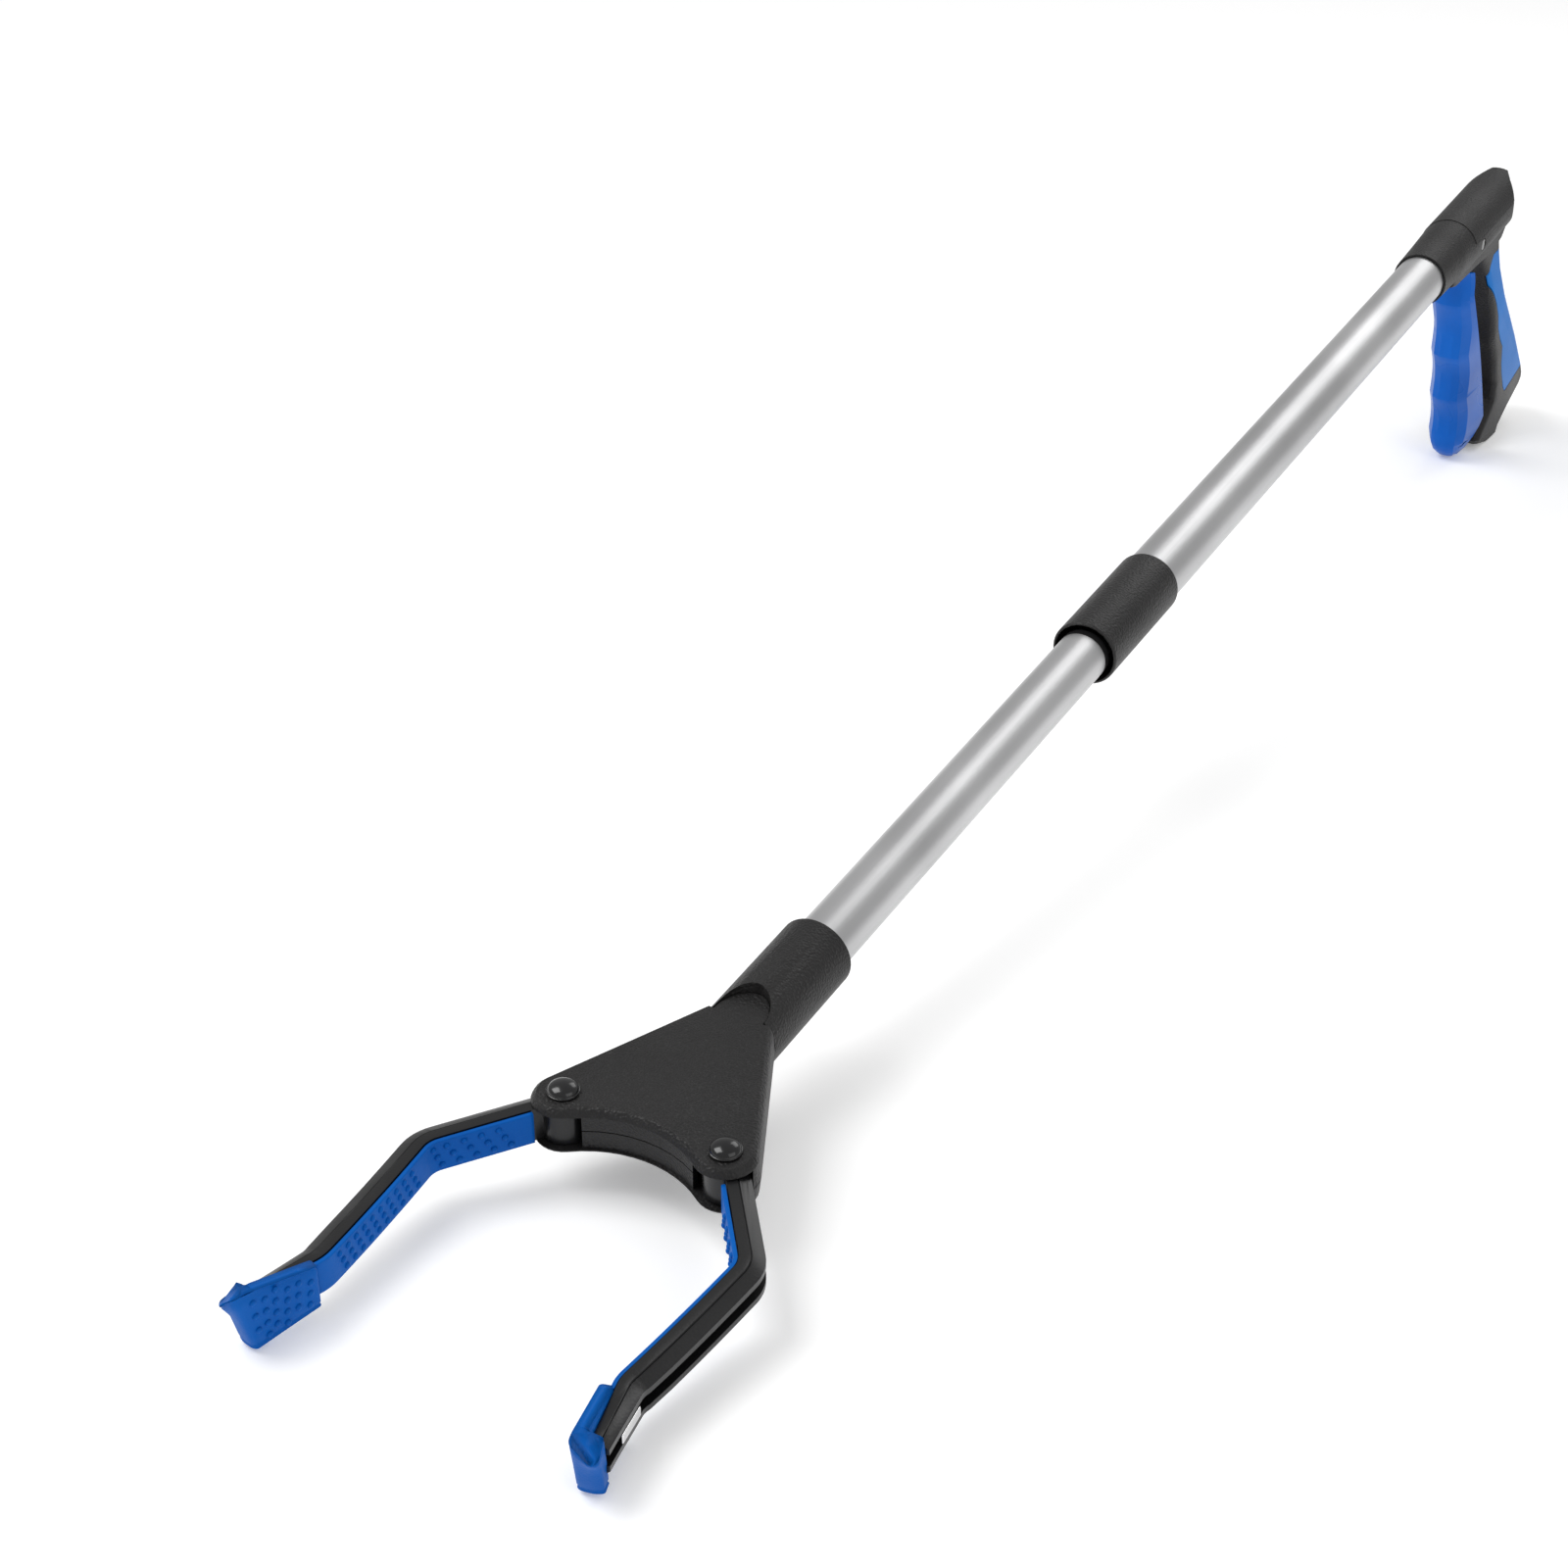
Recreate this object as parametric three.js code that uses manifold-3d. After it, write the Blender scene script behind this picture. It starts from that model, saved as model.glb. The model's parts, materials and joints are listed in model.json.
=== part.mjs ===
// Reacher grabber: a folding pole with a pistol-grip trigger at one end and a turning two-jaw head
// at the other. Millimetres. The tool is drawn along its pole: x = 0 on the line between the two jaw
// pivots, +x towards the handle, +z away from the grip, and y across the jaws. The whole tool is then
// tipped so that it stands on the foot of the grip and on the lower front edges of the two tip pads.
import * as THREE from 'three';
import { mergeVertices } from 'three/addons/utils/BufferGeometryUtils.js';
import Module from 'manifold-3d';

const wasm = await Module();
wasm.setup();

// ---------------------------------------------------------------- driving dimensions
const GAP = 0.3; // between pieces that sit against each other
const RUN = 0.35; // round a piece that turns or slides in another

// Pole
const NECK_END = 90; // open end of the head's neck
const NECK_RADIUS = 10.75;
const LOWER_RADIUS = 8.25;
const UPPER_RADIUS = 9.6;
const TUBE_WALL = 0.9;
const COLLAR_START = 265.5;
const COLLAR_LENGTH = 51;
const COLLAR_RADIUS = 10.8;
const BARREL_START = 591;
const BARREL_LENGTH = 101;

// Fold joint
const FOLD_BEHIND_COLLAR_START = 19.5;
const FOLD_HEIGHT = 4.6; // fold axis above the pole's axis
const EAR_RADIUS = 3.5;
const HINGE_PIN_RADIUS = 1.25;
const COLLAR_LIFT = 3.2; // how far the folding neck rises inside the collar before it is clear

// Cable
const CABLE_RADIUS = 0.8;
const CABLE_BALL_RADIUS = 1.7;
const CABLE_BALL_X = 20;
const CABLE_LEVEL_END = 100; // the cable leaves the axis here and climbs to the fold joint
const CABLE_BEND_HALF = 6;

// Head
const PIVOT_Y = 23.2;
const HEAD_CORNER_RADIUS = 8.7;
const HEAD_HALF_THICKNESS = 7.4; // above the joint line
const HEAD_DEPTH = 6.7; // below it
const HEAD_WALL = 2.1; // round the sides
const PLATE_END = 47; // where the flat housing meets the round neck
const MOUTH_X = -1; // deepest point of the curved front edge
const SEAM = 0.15; // half of the joint line between base and cover
const BULKHEAD_START = 55;
const BULKHEAD_END = 60;

// Jaws
const JAW_SWING = THREE.MathUtils.degToRad(23.5);
const JAW_HALF_HEIGHT = 5;
const ARM_DEPTH = 6.3;
const HUB_RADIUS = 5.8;
const PIVOT_RADIUS = 2.4;
const LEVER_REACH = 4.1; // yoke pin to jaw pivot, across the pole
const SLOT_BACK = 8.2; // yoke pin behind the jaw pivots at half swing
const LEVER_HALF_THICKNESS = 1.8;
const YOKE_PIN_RADIUS = 1.5;
const LINER_THICKNESS = 1.1;
const PAD_THICKNESS = 3.1;
const PAD_FRONT_HEIGHT = 19.2;
const PAD_REAR_HEIGHT = 12;
const PAD_LENGTH = 23.2;
const TIP_LIFT = 0.00095; // the jaws sweep up towards their tips: rise per square of the reach

// Handle
const BARREL_RADIUS = 11.7;
const BARREL_MOUTH_RADIUS = 10.6;
const BARREL_WALL = 2.3;
const TRIGGER_PIVOT = { x: 628, z: 5 };
const TRIGGER_SWING = THREE.MathUtils.degToRad(7.5);
const TRIGGER_PIN_RADIUS = 1.4;
const GRIP_HALF_WIDTH = 9.5;
const STRAP_THICKNESS = 2.2;

// ---------------------------------------------------------------- values worked out from them
const LOWER_BORE = LOWER_RADIUS - TUBE_WALL;
const UPPER_BORE = UPPER_RADIUS - TUBE_WALL;
const COLLAR_BORE = UPPER_RADIUS + GAP;
const FOLD_X = COLLAR_START + FOLD_BEHIND_COLLAR_START;
const LOWER_TUBE_START = BULKHEAD_END + 2.8;
const LOWER_TUBE_END = COLLAR_START - 2.2;
const UPPER_TUBE_START = FOLD_X + 23;
const UPPER_TUBE_END = BARREL_START + 27;
const BARREL_END = BARREL_START + BARREL_LENGTH;
const BARREL_BORE = UPPER_RADIUS + GAP;
const CAVITY_HALF = 5.3; // room for the jaws above and below the joint line
const YOKE_TRAVEL = (2 * LEVER_REACH * Math.sin(JAW_SWING / 2)) / Math.cos(JAW_SWING / 2);
const YOKE_PIN_X = (SLOT_BACK - LEVER_REACH * Math.sin(JAW_SWING / 2)) / Math.cos(JAW_SWING / 2);
const YOKE_PIN_Y = PIVOT_Y - LEVER_REACH;
const ANCHOR_REACH = YOKE_TRAVEL / TRIGGER_SWING;
const ANCHOR = {
  x: TRIGGER_PIVOT.x - ANCHOR_REACH * Math.sin(TRIGGER_SWING / 2),
  z: TRIGGER_PIVOT.z - ANCHOR_REACH * Math.cos(TRIGGER_SWING / 2),
};

// ---------------------------------------------------------------- colours
const paint = (color, roughness, metalness = 0) =>
  new THREE.MeshStandardMaterial({ color, roughness, metalness });
const BLACK_GRAINED = paint(0x2b2b2d, 0.6);
const BLACK_GLOSS = paint(0x1c1c1e, 0.25);
const BLUE_RUBBER = paint(0x0a5fb4, 0.65);
const BLUE_PLASTIC = paint(0x0a56a8, 0.4);
const ALUMINIUM = paint(0xc4c6c8, 0.35, 1);
const STEEL = paint(0x9a9da0, 0.3, 1);

// ---------------------------------------------------------------- geometry helpers
const bare = (geometry) => {
  const copy = geometry.index ? geometry.clone() : geometry;
  copy.deleteAttribute('normal');
  copy.deleteAttribute('uv');
  return mergeVertices(copy, 1e-5);
};

const flipped = (geometry) => {
  const index = geometry.index.array;
  for (let i = 0; i < index.length; i += 3) {
    [index[i], index[i + 1]] = [index[i + 1], index[i]];
  }
  return geometry;
};

const toSolid = (geometry) => {
  const merged = bare(geometry);
  const triVerts = Uint32Array.from(merged.index.array);
  const vertProperties = Float32Array.from(merged.attributes.position.array);
  return new wasm.Manifold(new wasm.Mesh({ numProp: 3, vertProperties, triVerts }));
};

const toGeometry = (solid) => {
  const mesh = solid.getMesh();
  const geometry = new THREE.BufferGeometry();
  geometry.setAttribute('position', new THREE.BufferAttribute(mesh.vertProperties, 3));
  geometry.setIndex(new THREE.BufferAttribute(mesh.triVerts, 1));
  return geometry;
};

// One body from pieces to join and pieces to cut away.
const carve = (adds, cuts = []) => {
  let body = toSolid(adds[0]);
  for (const extra of adds.slice(1)) body = body.add(toSolid(extra));
  for (const cut of cuts) body = body.subtract(toSolid(cut));
  return toGeometry(body);
};

const common = (first, second) => toGeometry(toSolid(first).intersect(toSolid(second)));

// The same piece on the other side of the pole.
const mirrorY = (geometry) => {
  const copy = bare(geometry);
  copy.scale(1, -1, 1);
  return flipped(copy);
};

// Straight or tapering body through rings of equal length, closed at both ends and facing out.
const loft = (rings, capPoints) => {
  const count = rings[0].length;
  const points = rings.flat();
  const faces = [];
  for (let r = 0; r + 1 < rings.length; r += 1) {
    for (let i = 0; i < count; i += 1) {
      const a = r * count + i;
      const b = r * count + ((i + 1) % count);
      faces.push([a, b, b + count], [a, b + count, a + count]);
    }
  }
  const last = (rings.length - 1) * count;
  const turnedOver = THREE.ShapeUtils.isClockWise(capPoints);
  for (const [a, p, q] of THREE.ShapeUtils.triangulateShape(capPoints, [])) {
    const [b, c] = turnedOver ? [q, p] : [p, q];
    faces.push([a, c, b], [last + a, last + b, last + c]);
  }
  let volume = 0;
  for (const [a, b, c] of faces) {
    volume += points[a].dot(new THREE.Vector3().crossVectors(points[b], points[c]));
  }
  const order = volume < 0 ? faces.map(([a, b, c]) => [a, c, b]) : faces;
  const geometry = new THREE.BufferGeometry().setFromPoints(points);
  geometry.setIndex(order.flat());
  return geometry;
};

const box = (x0, x1, y0, y1, z0, z1) =>
  new THREE.BoxGeometry(x1 - x0, y1 - y0, z1 - z0)
    .translate((x0 + x1) / 2, (y0 + y1) / 2, (z0 + z1) / 2);

// Round bars along each axis.
const barX = (radius, x0, x1, y = 0, z = 0, sides = 32) =>
  new THREE.CylinderGeometry(radius, radius, x1 - x0, sides)
    .rotateZ(-Math.PI / 2)
    .translate((x0 + x1) / 2, y, z);
const barY = (radius, y0, y1, x, z, sides = 24) =>
  new THREE.CylinderGeometry(radius, radius, y1 - y0, sides).translate(x, (y0 + y1) / 2, z);
const barZ = (radius, z0, z1, x, y, sides = 24) =>
  new THREE.CylinderGeometry(radius, radius, z1 - z0, sides)
    .rotateX(Math.PI / 2)
    .translate(x, y, (z0 + z1) / 2);

// A turned piece round the pole's axis, from a closed profile of [radius, x] pairs.
const turned = (profile, sides = 48) => {
  const points = [...profile, profile[0]].map(([r, x]) => new THREE.Vector2(r, x));
  const lathe = bare(new THREE.LatheGeometry(points, sides).rotateZ(-Math.PI / 2));
  const solid = toSolid(lathe);
  return solid.volume() < 0 ? flipped(lathe) : lathe;
};

const pipe = (outer, inner, x0, x1, sides = 48) =>
  turned([[inner, x0], [outer, x0], [outer, x1], [inner, x1]], sides);

const shapeOf = (points) => new THREE.Shape(points.map(([a, b]) => new THREE.Vector2(a, b)));

// A flat outline in the jaw plane (x, y) made solid between two heights.
const planSolid = (shape, z0, z1, curveSegments = 16) =>
  new THREE.ExtrudeGeometry(shape, { depth: z1 - z0, bevelEnabled: false, curveSegments })
    .translate(0, 0, z0);

// A side outline (x, z) made solid across the tool, with softened edges when bevel is given.
const sideSolid = (points, halfWidth, bevel = 0) => {
  const settings = { depth: 2 * (halfWidth - bevel), bevelEnabled: bevel > 0 };
  if (bevel > 0) {
    settings.bevelSize = bevel;
    settings.bevelThickness = bevel;
    settings.bevelOffset = -bevel;
    settings.bevelSegments = 3;
  }
  return new THREE.ExtrudeGeometry(shapeOf(points), settings)
    .translate(0, 0, -(halfWidth - bevel))
    .rotateX(Math.PI / 2);
};

// A round rod through points [x, z] in the tool's middle plane.
const rodThrough = (route, radius, sides = 8) => {
  const ring = (point) => {
    const around = [];
    for (let i = 0; i < sides; i += 1) {
      const angle = (2 * Math.PI * i) / sides;
      const y = radius * Math.cos(angle);
      around.push(new THREE.Vector3(point[0], y, point[1] + radius * Math.sin(angle)));
    }
    return around;
  };
  const rings = route.map(ring);
  return loft(rings, rings[0].map((p) => new THREE.Vector2(p.y, p.z)));
};

// ---------------------------------------------------------------- jaw path
const ARM_SPREAD = THREE.MathUtils.degToRad(36.5); // first stretch, outwards
const ARM_CLOSE_IN = THREE.MathUtils.degToRad(4.4); // second stretch, back inwards
const TIP_FLARE = THREE.MathUtils.degToRad(15); // last stretch, outwards again
const ELBOW = { x: -29.1, y: 43.8 };
const WRIST = { x: -76, y: ELBOW.y - 46.9 * Math.tan(ARM_CLOSE_IN) };
const TIP_REACH = 21.7; // from the wrist to the end of the black arm
const ELBOW_RADIUS = 7;
const WRIST_RADIUS = 14;

// The line that the inner face of the left arm follows, as places with an outward normal.
const cornerArc = (corner, headingIn, headingOut, radius, steps) => {
  const turn = headingOut - headingIn;
  const back = radius * Math.tan(Math.abs(turn) / 2);
  const start = {
    x: corner.x - back * -Math.cos(headingIn),
    y: corner.y - back * Math.sin(headingIn),
  };
  const places = [];
  let { x, y } = start;
  for (let i = 0; i <= steps; i += 1) {
    const heading = headingIn + (turn * i) / steps;
    places.push({ x, y, heading });
    const middle = heading + turn / steps / 2;
    const chord = 2 * radius * Math.sin(Math.abs(turn) / steps / 2);
    x += -Math.cos(middle) * chord;
    y += Math.sin(middle) * chord;
  }
  return places;
};

const armPath = () => {
  const start = {
    x: 0,
    y: ELBOW.y + ELBOW.x * Math.tan(ARM_SPREAD),
    heading: ARM_SPREAD,
  };
  const tip = {
    x: WRIST.x - TIP_REACH * Math.cos(TIP_FLARE),
    y: WRIST.y + TIP_REACH * Math.sin(TIP_FLARE),
    heading: TIP_FLARE,
  };
  const elbow = cornerArc(ELBOW, ARM_SPREAD, -ARM_CLOSE_IN, ELBOW_RADIUS, 8);
  const wrist = cornerArc(WRIST, -ARM_CLOSE_IN, TIP_FLARE, WRIST_RADIUS, 5);
  const between = (from, to, pieces) => Array.from({ length: pieces - 1 }, (_, i) => {
    const share = (i + 1) / pieces;
    const { heading } = to;
    return { x: from.x + (to.x - from.x) * share, y: from.y + (to.y - from.y) * share, heading };
  });
  return [
    start,
    ...elbow,
    ...between(elbow.at(-1), wrist[0], 5),
    ...wrist,
    ...between(wrist.at(-1), tip, 3),
    tip,
  ];
};

// The part of the path between two values of x, with new ends cut into it.
const pathBetween = (path, xStart, xEnd) => {
  const at = (x) => {
    const i = path.findIndex((p, k) => k + 1 < path.length && p.x >= x && path[k + 1].x <= x);
    const [p, q] = [path[i], path[i + 1]];
    const share = (x - p.x) / (q.x - p.x);
    const y = p.y + share * (q.y - p.y);
    return { x, y, heading: Math.atan2(q.y - p.y, p.x - q.x) };
  };
  const inside = path.filter((p) => p.x < xStart - 0.5 && p.x > xEnd + 0.5);
  return [at(xStart), ...inside, at(xEnd)];
};

// Height of the jaw's middle above the pivots' middle: level to the elbow, then rising to the tip.
const riseAt = (x) => TIP_LIFT * Math.min(x - ELBOW.x, 0) ** 2;

// A section of [outward, up] points carried along a path; squeeze narrows it towards the tip.
const alongPath = (path, section, squeeze = () => 1) => {
  const rings = path.map((place) => {
    const [nx, ny] = [Math.sin(place.heading), Math.cos(place.heading)];
    const k = squeeze(place.x);
    const rise = riseAt(place.x);
    return section.map(([u, v]) =>
      new THREE.Vector3(place.x + nx * u * k, place.y + ny * u * k, v + rise));
  });
  return loft(rings, section.map(([u, v]) => new THREE.Vector2(u, v)));
};

const tipSqueeze = (x) => {
  const share = THREE.MathUtils.clamp((WRIST.x + 4 - x) / (TIP_REACH + 2), 0, 1);
  return 1 - 0.36 * share;
};

// ---------------------------------------------------------------- head
// Outline of the head, drawn in from its full size by inset: two round corners over the pivots,
// straight sides to the neck and one curved front edge that touches both corners.
const MOUTH_RADIUS =
  (PIVOT_Y ** 2 + MOUTH_X ** 2 - HEAD_CORNER_RADIUS ** 2) / (2 * (HEAD_CORNER_RADIUS + MOUTH_X));
const MOUTH_CENTRE = MOUTH_X - MOUTH_RADIUS;
const SIDE_ANGLE = (() => {
  const across = Math.hypot(PLATE_END, PIVOT_Y - NECK_RADIUS);
  const slope = Math.atan2(PIVOT_Y - NECK_RADIUS, PLATE_END);
  return Math.PI / 2 - (slope + Math.asin(HEAD_CORNER_RADIUS / across));
})();

const arcPoints = (cx, cy, radius, from, to, steps) => {
  const points = [];
  for (let i = 0; i <= steps; i += 1) {
    const angle = from + ((to - from) * i) / steps;
    points.push([cx + radius * Math.cos(angle), cy + radius * Math.sin(angle)]);
  }
  return points;
};

const headOutline = (inset) => {
  const touch = Math.atan2(PIVOT_Y, -MOUTH_CENTRE);
  const corner = HEAD_CORNER_RADIUS - inset;
  const upper = [
    [PLATE_END, NECK_RADIUS - inset],
    ...arcPoints(0, PIVOT_Y, corner, SIDE_ANGLE, Math.PI + touch, 12),
    ...arcPoints(MOUTH_CENTRE, 0, MOUTH_RADIUS + inset, touch, 0, 6).slice(1),
  ];
  const lower = upper.slice(0, -1).reverse().map(([x, y]) => [x, -y]);
  return [...upper, ...lower];
};

// Half of the flat housing; side is +1 above the joint line and -1 below it.
const housingHalf = (side) => {
  const full = side > 0 ? HEAD_HALF_THICKNESS : HEAD_DEPTH;
  const levels = [[0, SEAM], [0.5, full - 2], [1.1, full - 0.8], [2, full]];
  const rings = levels.map(([inset, z]) =>
    headOutline(inset).map(([x, y]) => new THREE.Vector3(x, y, side * z)));
  return loft(rings, headOutline(0).map(([x, y]) => new THREE.Vector2(x, y)));
};

const MOUTH_LIP = 1.8; // the plates overhang the wall between them by this much
const MOUTH_WALL = 1.8;
const EXIT_HALF_Y = 15.9; // inner edge of the opening that each jaw leaves by

// Everything hollow inside the housing, as plan outlines cut at full cavity height.
const cavityCuts = () => {
  const cut = (points) => planSolid(shapeOf(points), -CAVITY_HALF, CAVITY_HALF);
  const wallBack = MOUTH_RADIUS + MOUTH_LIP + MOUTH_WALL;
  const sweep = Math.asin((EXIT_HALF_Y - 0.4) / wallBack);
  const front = arcPoints(MOUTH_CENTRE, 0, wallBack, sweep, -sweep, 8);
  const sideIn = HEAD_CORNER_RADIUS - HEAD_WALL - 0.3;
  const sideFoot = [sideIn * Math.cos(SIDE_ANGLE), PIVOT_Y + sideIn * Math.sin(SIDE_ANGLE)];
  const rear = [PLATE_END - 1, NECK_RADIUS - HEAD_WALL - 0.35];
  const chamber = [
    rear, sideFoot, [0, PIVOT_Y], [front[0][0], PIVOT_Y], ...front,
    [front[0][0], -PIVOT_Y], [0, -PIVOT_Y], [sideFoot[0], -sideFoot[1]], [rear[0], -rear[1]],
  ];
  const lipBack = MOUTH_RADIUS + MOUTH_LIP;
  const lipSweep = Math.asin(EXIT_HALF_Y / lipBack);
  const lip = [
    [-20, EXIT_HALF_Y + 0.1],
    ...arcPoints(MOUTH_CENTRE, 0, lipBack, lipSweep, -lipSweep, 8),
    [-20, -EXIT_HALF_Y - 0.1],
  ];
  const exit = (side) => {
    const reach = ARM_DEPTH - 0.3;
    const x = reach * Math.sin(ARM_SPREAD);
    const y = PIVOT_Y + reach * Math.cos(ARM_SPREAD);
    const run = 24;
    const points = [
      [x, y],
      [x - run * Math.cos(ARM_SPREAD), y + run * Math.sin(ARM_SPREAD)],
      [-20, EXIT_HALF_Y],
      [0, EXIT_HALF_Y],
    ];
    return cut(points.map(([px, py]) => [px, side * py]));
  };
  const hub = (side) => barZ(HUB_RADIUS + 0.6, -CAVITY_HALF, CAVITY_HALF, 0, side * PIVOT_Y, 32);
  const seatRoom = box(PLATE_END - 3, PLATE_END + 1.3, -7.3, 7.3, -CAVITY_HALF, CAVITY_HALF);
  return [cut(chamber), cut(lip), exit(1), exit(-1), hub(1), hub(-1), seatRoom];
};

const HEAD_SCREWS = [[26, 11.5], [26, -11.5]];
const HEAD_SCREW_RADIUS = 1.2;
const pivotHoles = () => [1, -1].map((side) =>
  barZ(PIVOT_RADIUS + GAP, -20, 20, 0, side * PIVOT_Y, 32));

// The rounded tongue at the back of the cover, let into the top of the neck.
const tongueShape = (grow) => {
  const points = arcPoints(0, 0, 1, -Math.PI / 2, Math.PI / 2, 14)
    .map(([a, b]) => [PLATE_END + (10.4 + grow) * a, (7.2 + grow) * b]);
  return shapeOf([[PLATE_END - 4, -(7.2 + grow)], ...points, [PLATE_END - 4, 7.2 + grow]]);
};
const TONGUE_BOTTOM = HEAD_HALF_THICKNESS - 1;

const headCover = () => {
  const bosses = HEAD_SCREWS.map(([x, y]) => barZ(3, SEAM, 6, x, y));
  const tongue = planSolid(tongueShape(0), TONGUE_BOTTOM, HEAD_HALF_THICKNESS);
  const shell = carve([housingHalf(1), tongue], cavityCuts());
  const holes = HEAD_SCREWS.map(([x, y]) => barZ(HEAD_SCREW_RADIUS + 0.1, -1, 4.6, x, y, 16));
  return carve([shell, ...bosses], [...holes, ...pivotHoles()]);
};

const headBase = () => {
  const plate = carve([housingHalf(-1)], cavityCuts());
  const upperRoom = box(PLATE_END - 10, PLATE_END + GAP, -20, 20, -SEAM, 20);
  const scoop = planSolid(tongueShape(GAP), TONGUE_BOTTOM - GAP, 20);
  const scoopBelow = planSolid(tongueShape(GAP), -20, -HEAD_DEPTH);
  const neck = carve(
    [turned([
      [0, PLATE_END - 4],
      [NECK_RADIUS, PLATE_END - 4],
      [NECK_RADIUS, NECK_END - 1.2],
      [NECK_RADIUS - 1.2, NECK_END],
      [0, NECK_END],
    ])],
    [
      upperRoom,
      scoop,
      scoopBelow,
      barX(LOWER_RADIUS + RUN, BULKHEAD_END, NECK_END + 5, 0, 0, 48),
      barX(4.2 + RUN, PLATE_END - 6, BULKHEAD_END + 1),
      barX(5.6, PLATE_END + 1, BULKHEAD_START),
      box(PLATE_END - 8, PLATE_END + 1.3, -7.3, 7.3, -CAVITY_HALF, CAVITY_HALF),
    ],
  );
  const bosses = HEAD_SCREWS.map(([x, y]) => barZ(3, -6, -SEAM, x, y));
  const holes = HEAD_SCREWS.flatMap(([x, y]) => [
    barZ(HEAD_SCREW_RADIUS + 0.25, -20, 1, x, y, 16),
    barZ(2.6, -20, -HEAD_DEPTH + 1.1, x, y),
  ]);
  return carve([plate, neck, ...bosses], [...holes, ...pivotHoles()]);
};

const headScrew = ([x, y]) => carve([
  barZ(HEAD_SCREW_RADIUS, -HEAD_DEPTH + 0.7, 4, x, y, 16),
  barZ(2.3, -HEAD_DEPTH, -HEAD_DEPTH + 0.9, x, y, 20),
], [box(x - 1.5, x + 1.5, y - 0.3, y + 0.3, -8, -HEAD_DEPTH + 0.4)]);

// Domed barrel nut over each jaw pivot, and the flat-headed screw that closes it from below.
const PIVOT_BORE = 1.3;
const pivotPost = (side) => {
  const top = HEAD_HALF_THICKNESS + GAP;
  const dome = arcPoints(0, 0, 1, Math.PI / 2, 0, 6)
    .map(([a, b]) => new THREE.Vector2(4 * a, top + 0.4 + 2 * b));
  const profile = [
    ...dome,
    new THREE.Vector2(4.3, top + 0.35),
    new THREE.Vector2(4.3, top),
    new THREE.Vector2(PIVOT_RADIUS, top),
    new THREE.Vector2(PIVOT_RADIUS, -CAVITY_HALF),
    new THREE.Vector2(PIVOT_BORE, -CAVITY_HALF),
    new THREE.Vector2(PIVOT_BORE, 3),
    new THREE.Vector2(0, 3),
  ];
  const post = bare(new THREE.LatheGeometry(profile.reverse(), 32).rotateX(Math.PI / 2));
  const body = toSolid(post).volume() < 0 ? flipped(post) : post;
  return body.translate(0, side * PIVOT_Y, 0);
};

const pivotScrew = (side) => {
  const under = -HEAD_DEPTH - GAP;
  return carve([
    barZ(4, under - 0.8, under, 0, side * PIVOT_Y),
    barZ(PIVOT_BORE - 0.2, under - 0.2, 1.5, 0, side * PIVOT_Y, 16),
  ], [box(-2.4, 2.4, side * PIVOT_Y - 0.35, side * PIVOT_Y + 0.35, under - 1, under - 0.4)]);
};

// ---------------------------------------------------------------- jaws
const ARM_SECTION = (() => {
  const upper = [
    [0, JAW_HALF_HEIGHT],
    [2.7, JAW_HALF_HEIGHT],
    [2.9, JAW_HALF_HEIGHT - 0.45],
    [3.2, JAW_HALF_HEIGHT - 0.25],
    [ARM_DEPTH, 3.3],
    [ARM_DEPTH, 1.7],
    [2.6, 1.7],
  ];
  return [...upper, ...upper.slice().reverse().map(([u, v]) => [u, -v])];
})();

// The short lever inside the head that the yoke pin pushes, drawn at half swing about the pivot.
const leverShape = () => {
  const near = -LEVER_REACH + 1.9;
  const far = -LEVER_REACH - 2.25;
  const wall = YOKE_PIN_RADIUS + GAP + 1.6;
  const foot = [
    ...arcPoints(SLOT_BACK, far, wall, Math.PI, 2 * Math.PI, 10),
    ...arcPoints(SLOT_BACK, near, wall - 0.5, 0, Math.PI, 10),
  ];
  return [foot, [[-1.5, -4.6], [SLOT_BACK, far], [SLOT_BACK, near + 1], [1.5, 4.6]]];
};

const leverSlot = () => shapeOf([
  ...arcPoints(SLOT_BACK, -LEVER_REACH - 2.25, YOKE_PIN_RADIUS + GAP, Math.PI, 2 * Math.PI, 10),
  ...arcPoints(SLOT_BACK, -LEVER_REACH + 1.9, YOKE_PIN_RADIUS + GAP, 0, Math.PI, 10),
]);

const leftJaw = () => {
  const arm = alongPath(armPath(), ARM_SECTION, tipSqueeze);
  const hub = barZ(HUB_RADIUS, -JAW_HALF_HEIGHT, JAW_HALF_HEIGHT, 0, PIVOT_Y, 32);
  const place = (geometry) => geometry.rotateZ(-JAW_SWING / 2).translate(0, PIVOT_Y, 0);
  const levers = leverShape().map((points) =>
    place(planSolid(shapeOf(points), -LEVER_HALF_THICKNESS, LEVER_HALF_THICKNESS)));
  const slot = place(planSolid(leverSlot(), -4, 4));
  const bore = barZ(PIVOT_RADIUS + RUN, -9, 9, 0, PIVOT_Y, 32);
  return carve([arm, hub, ...levers], [slot, bore]);
};

const LINER_START = -7.5;
const PAD_START = WRIST.x - 3.9;
const leftLiner = () => {
  const [inner, outer] = [-GAP - LINER_THICKNESS, -GAP];
  const half = JAW_HALF_HEIGHT - 0.3;
  const section = [
    [outer, half], [inner + 0.4, half], [inner, half - 0.4],
    [inner, -half + 0.4], [inner + 0.4, -half], [outer, -half],
  ];
  return alongPath(pathBetween(armPath(), LINER_START, PAD_START + 0.4), section);
};

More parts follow.
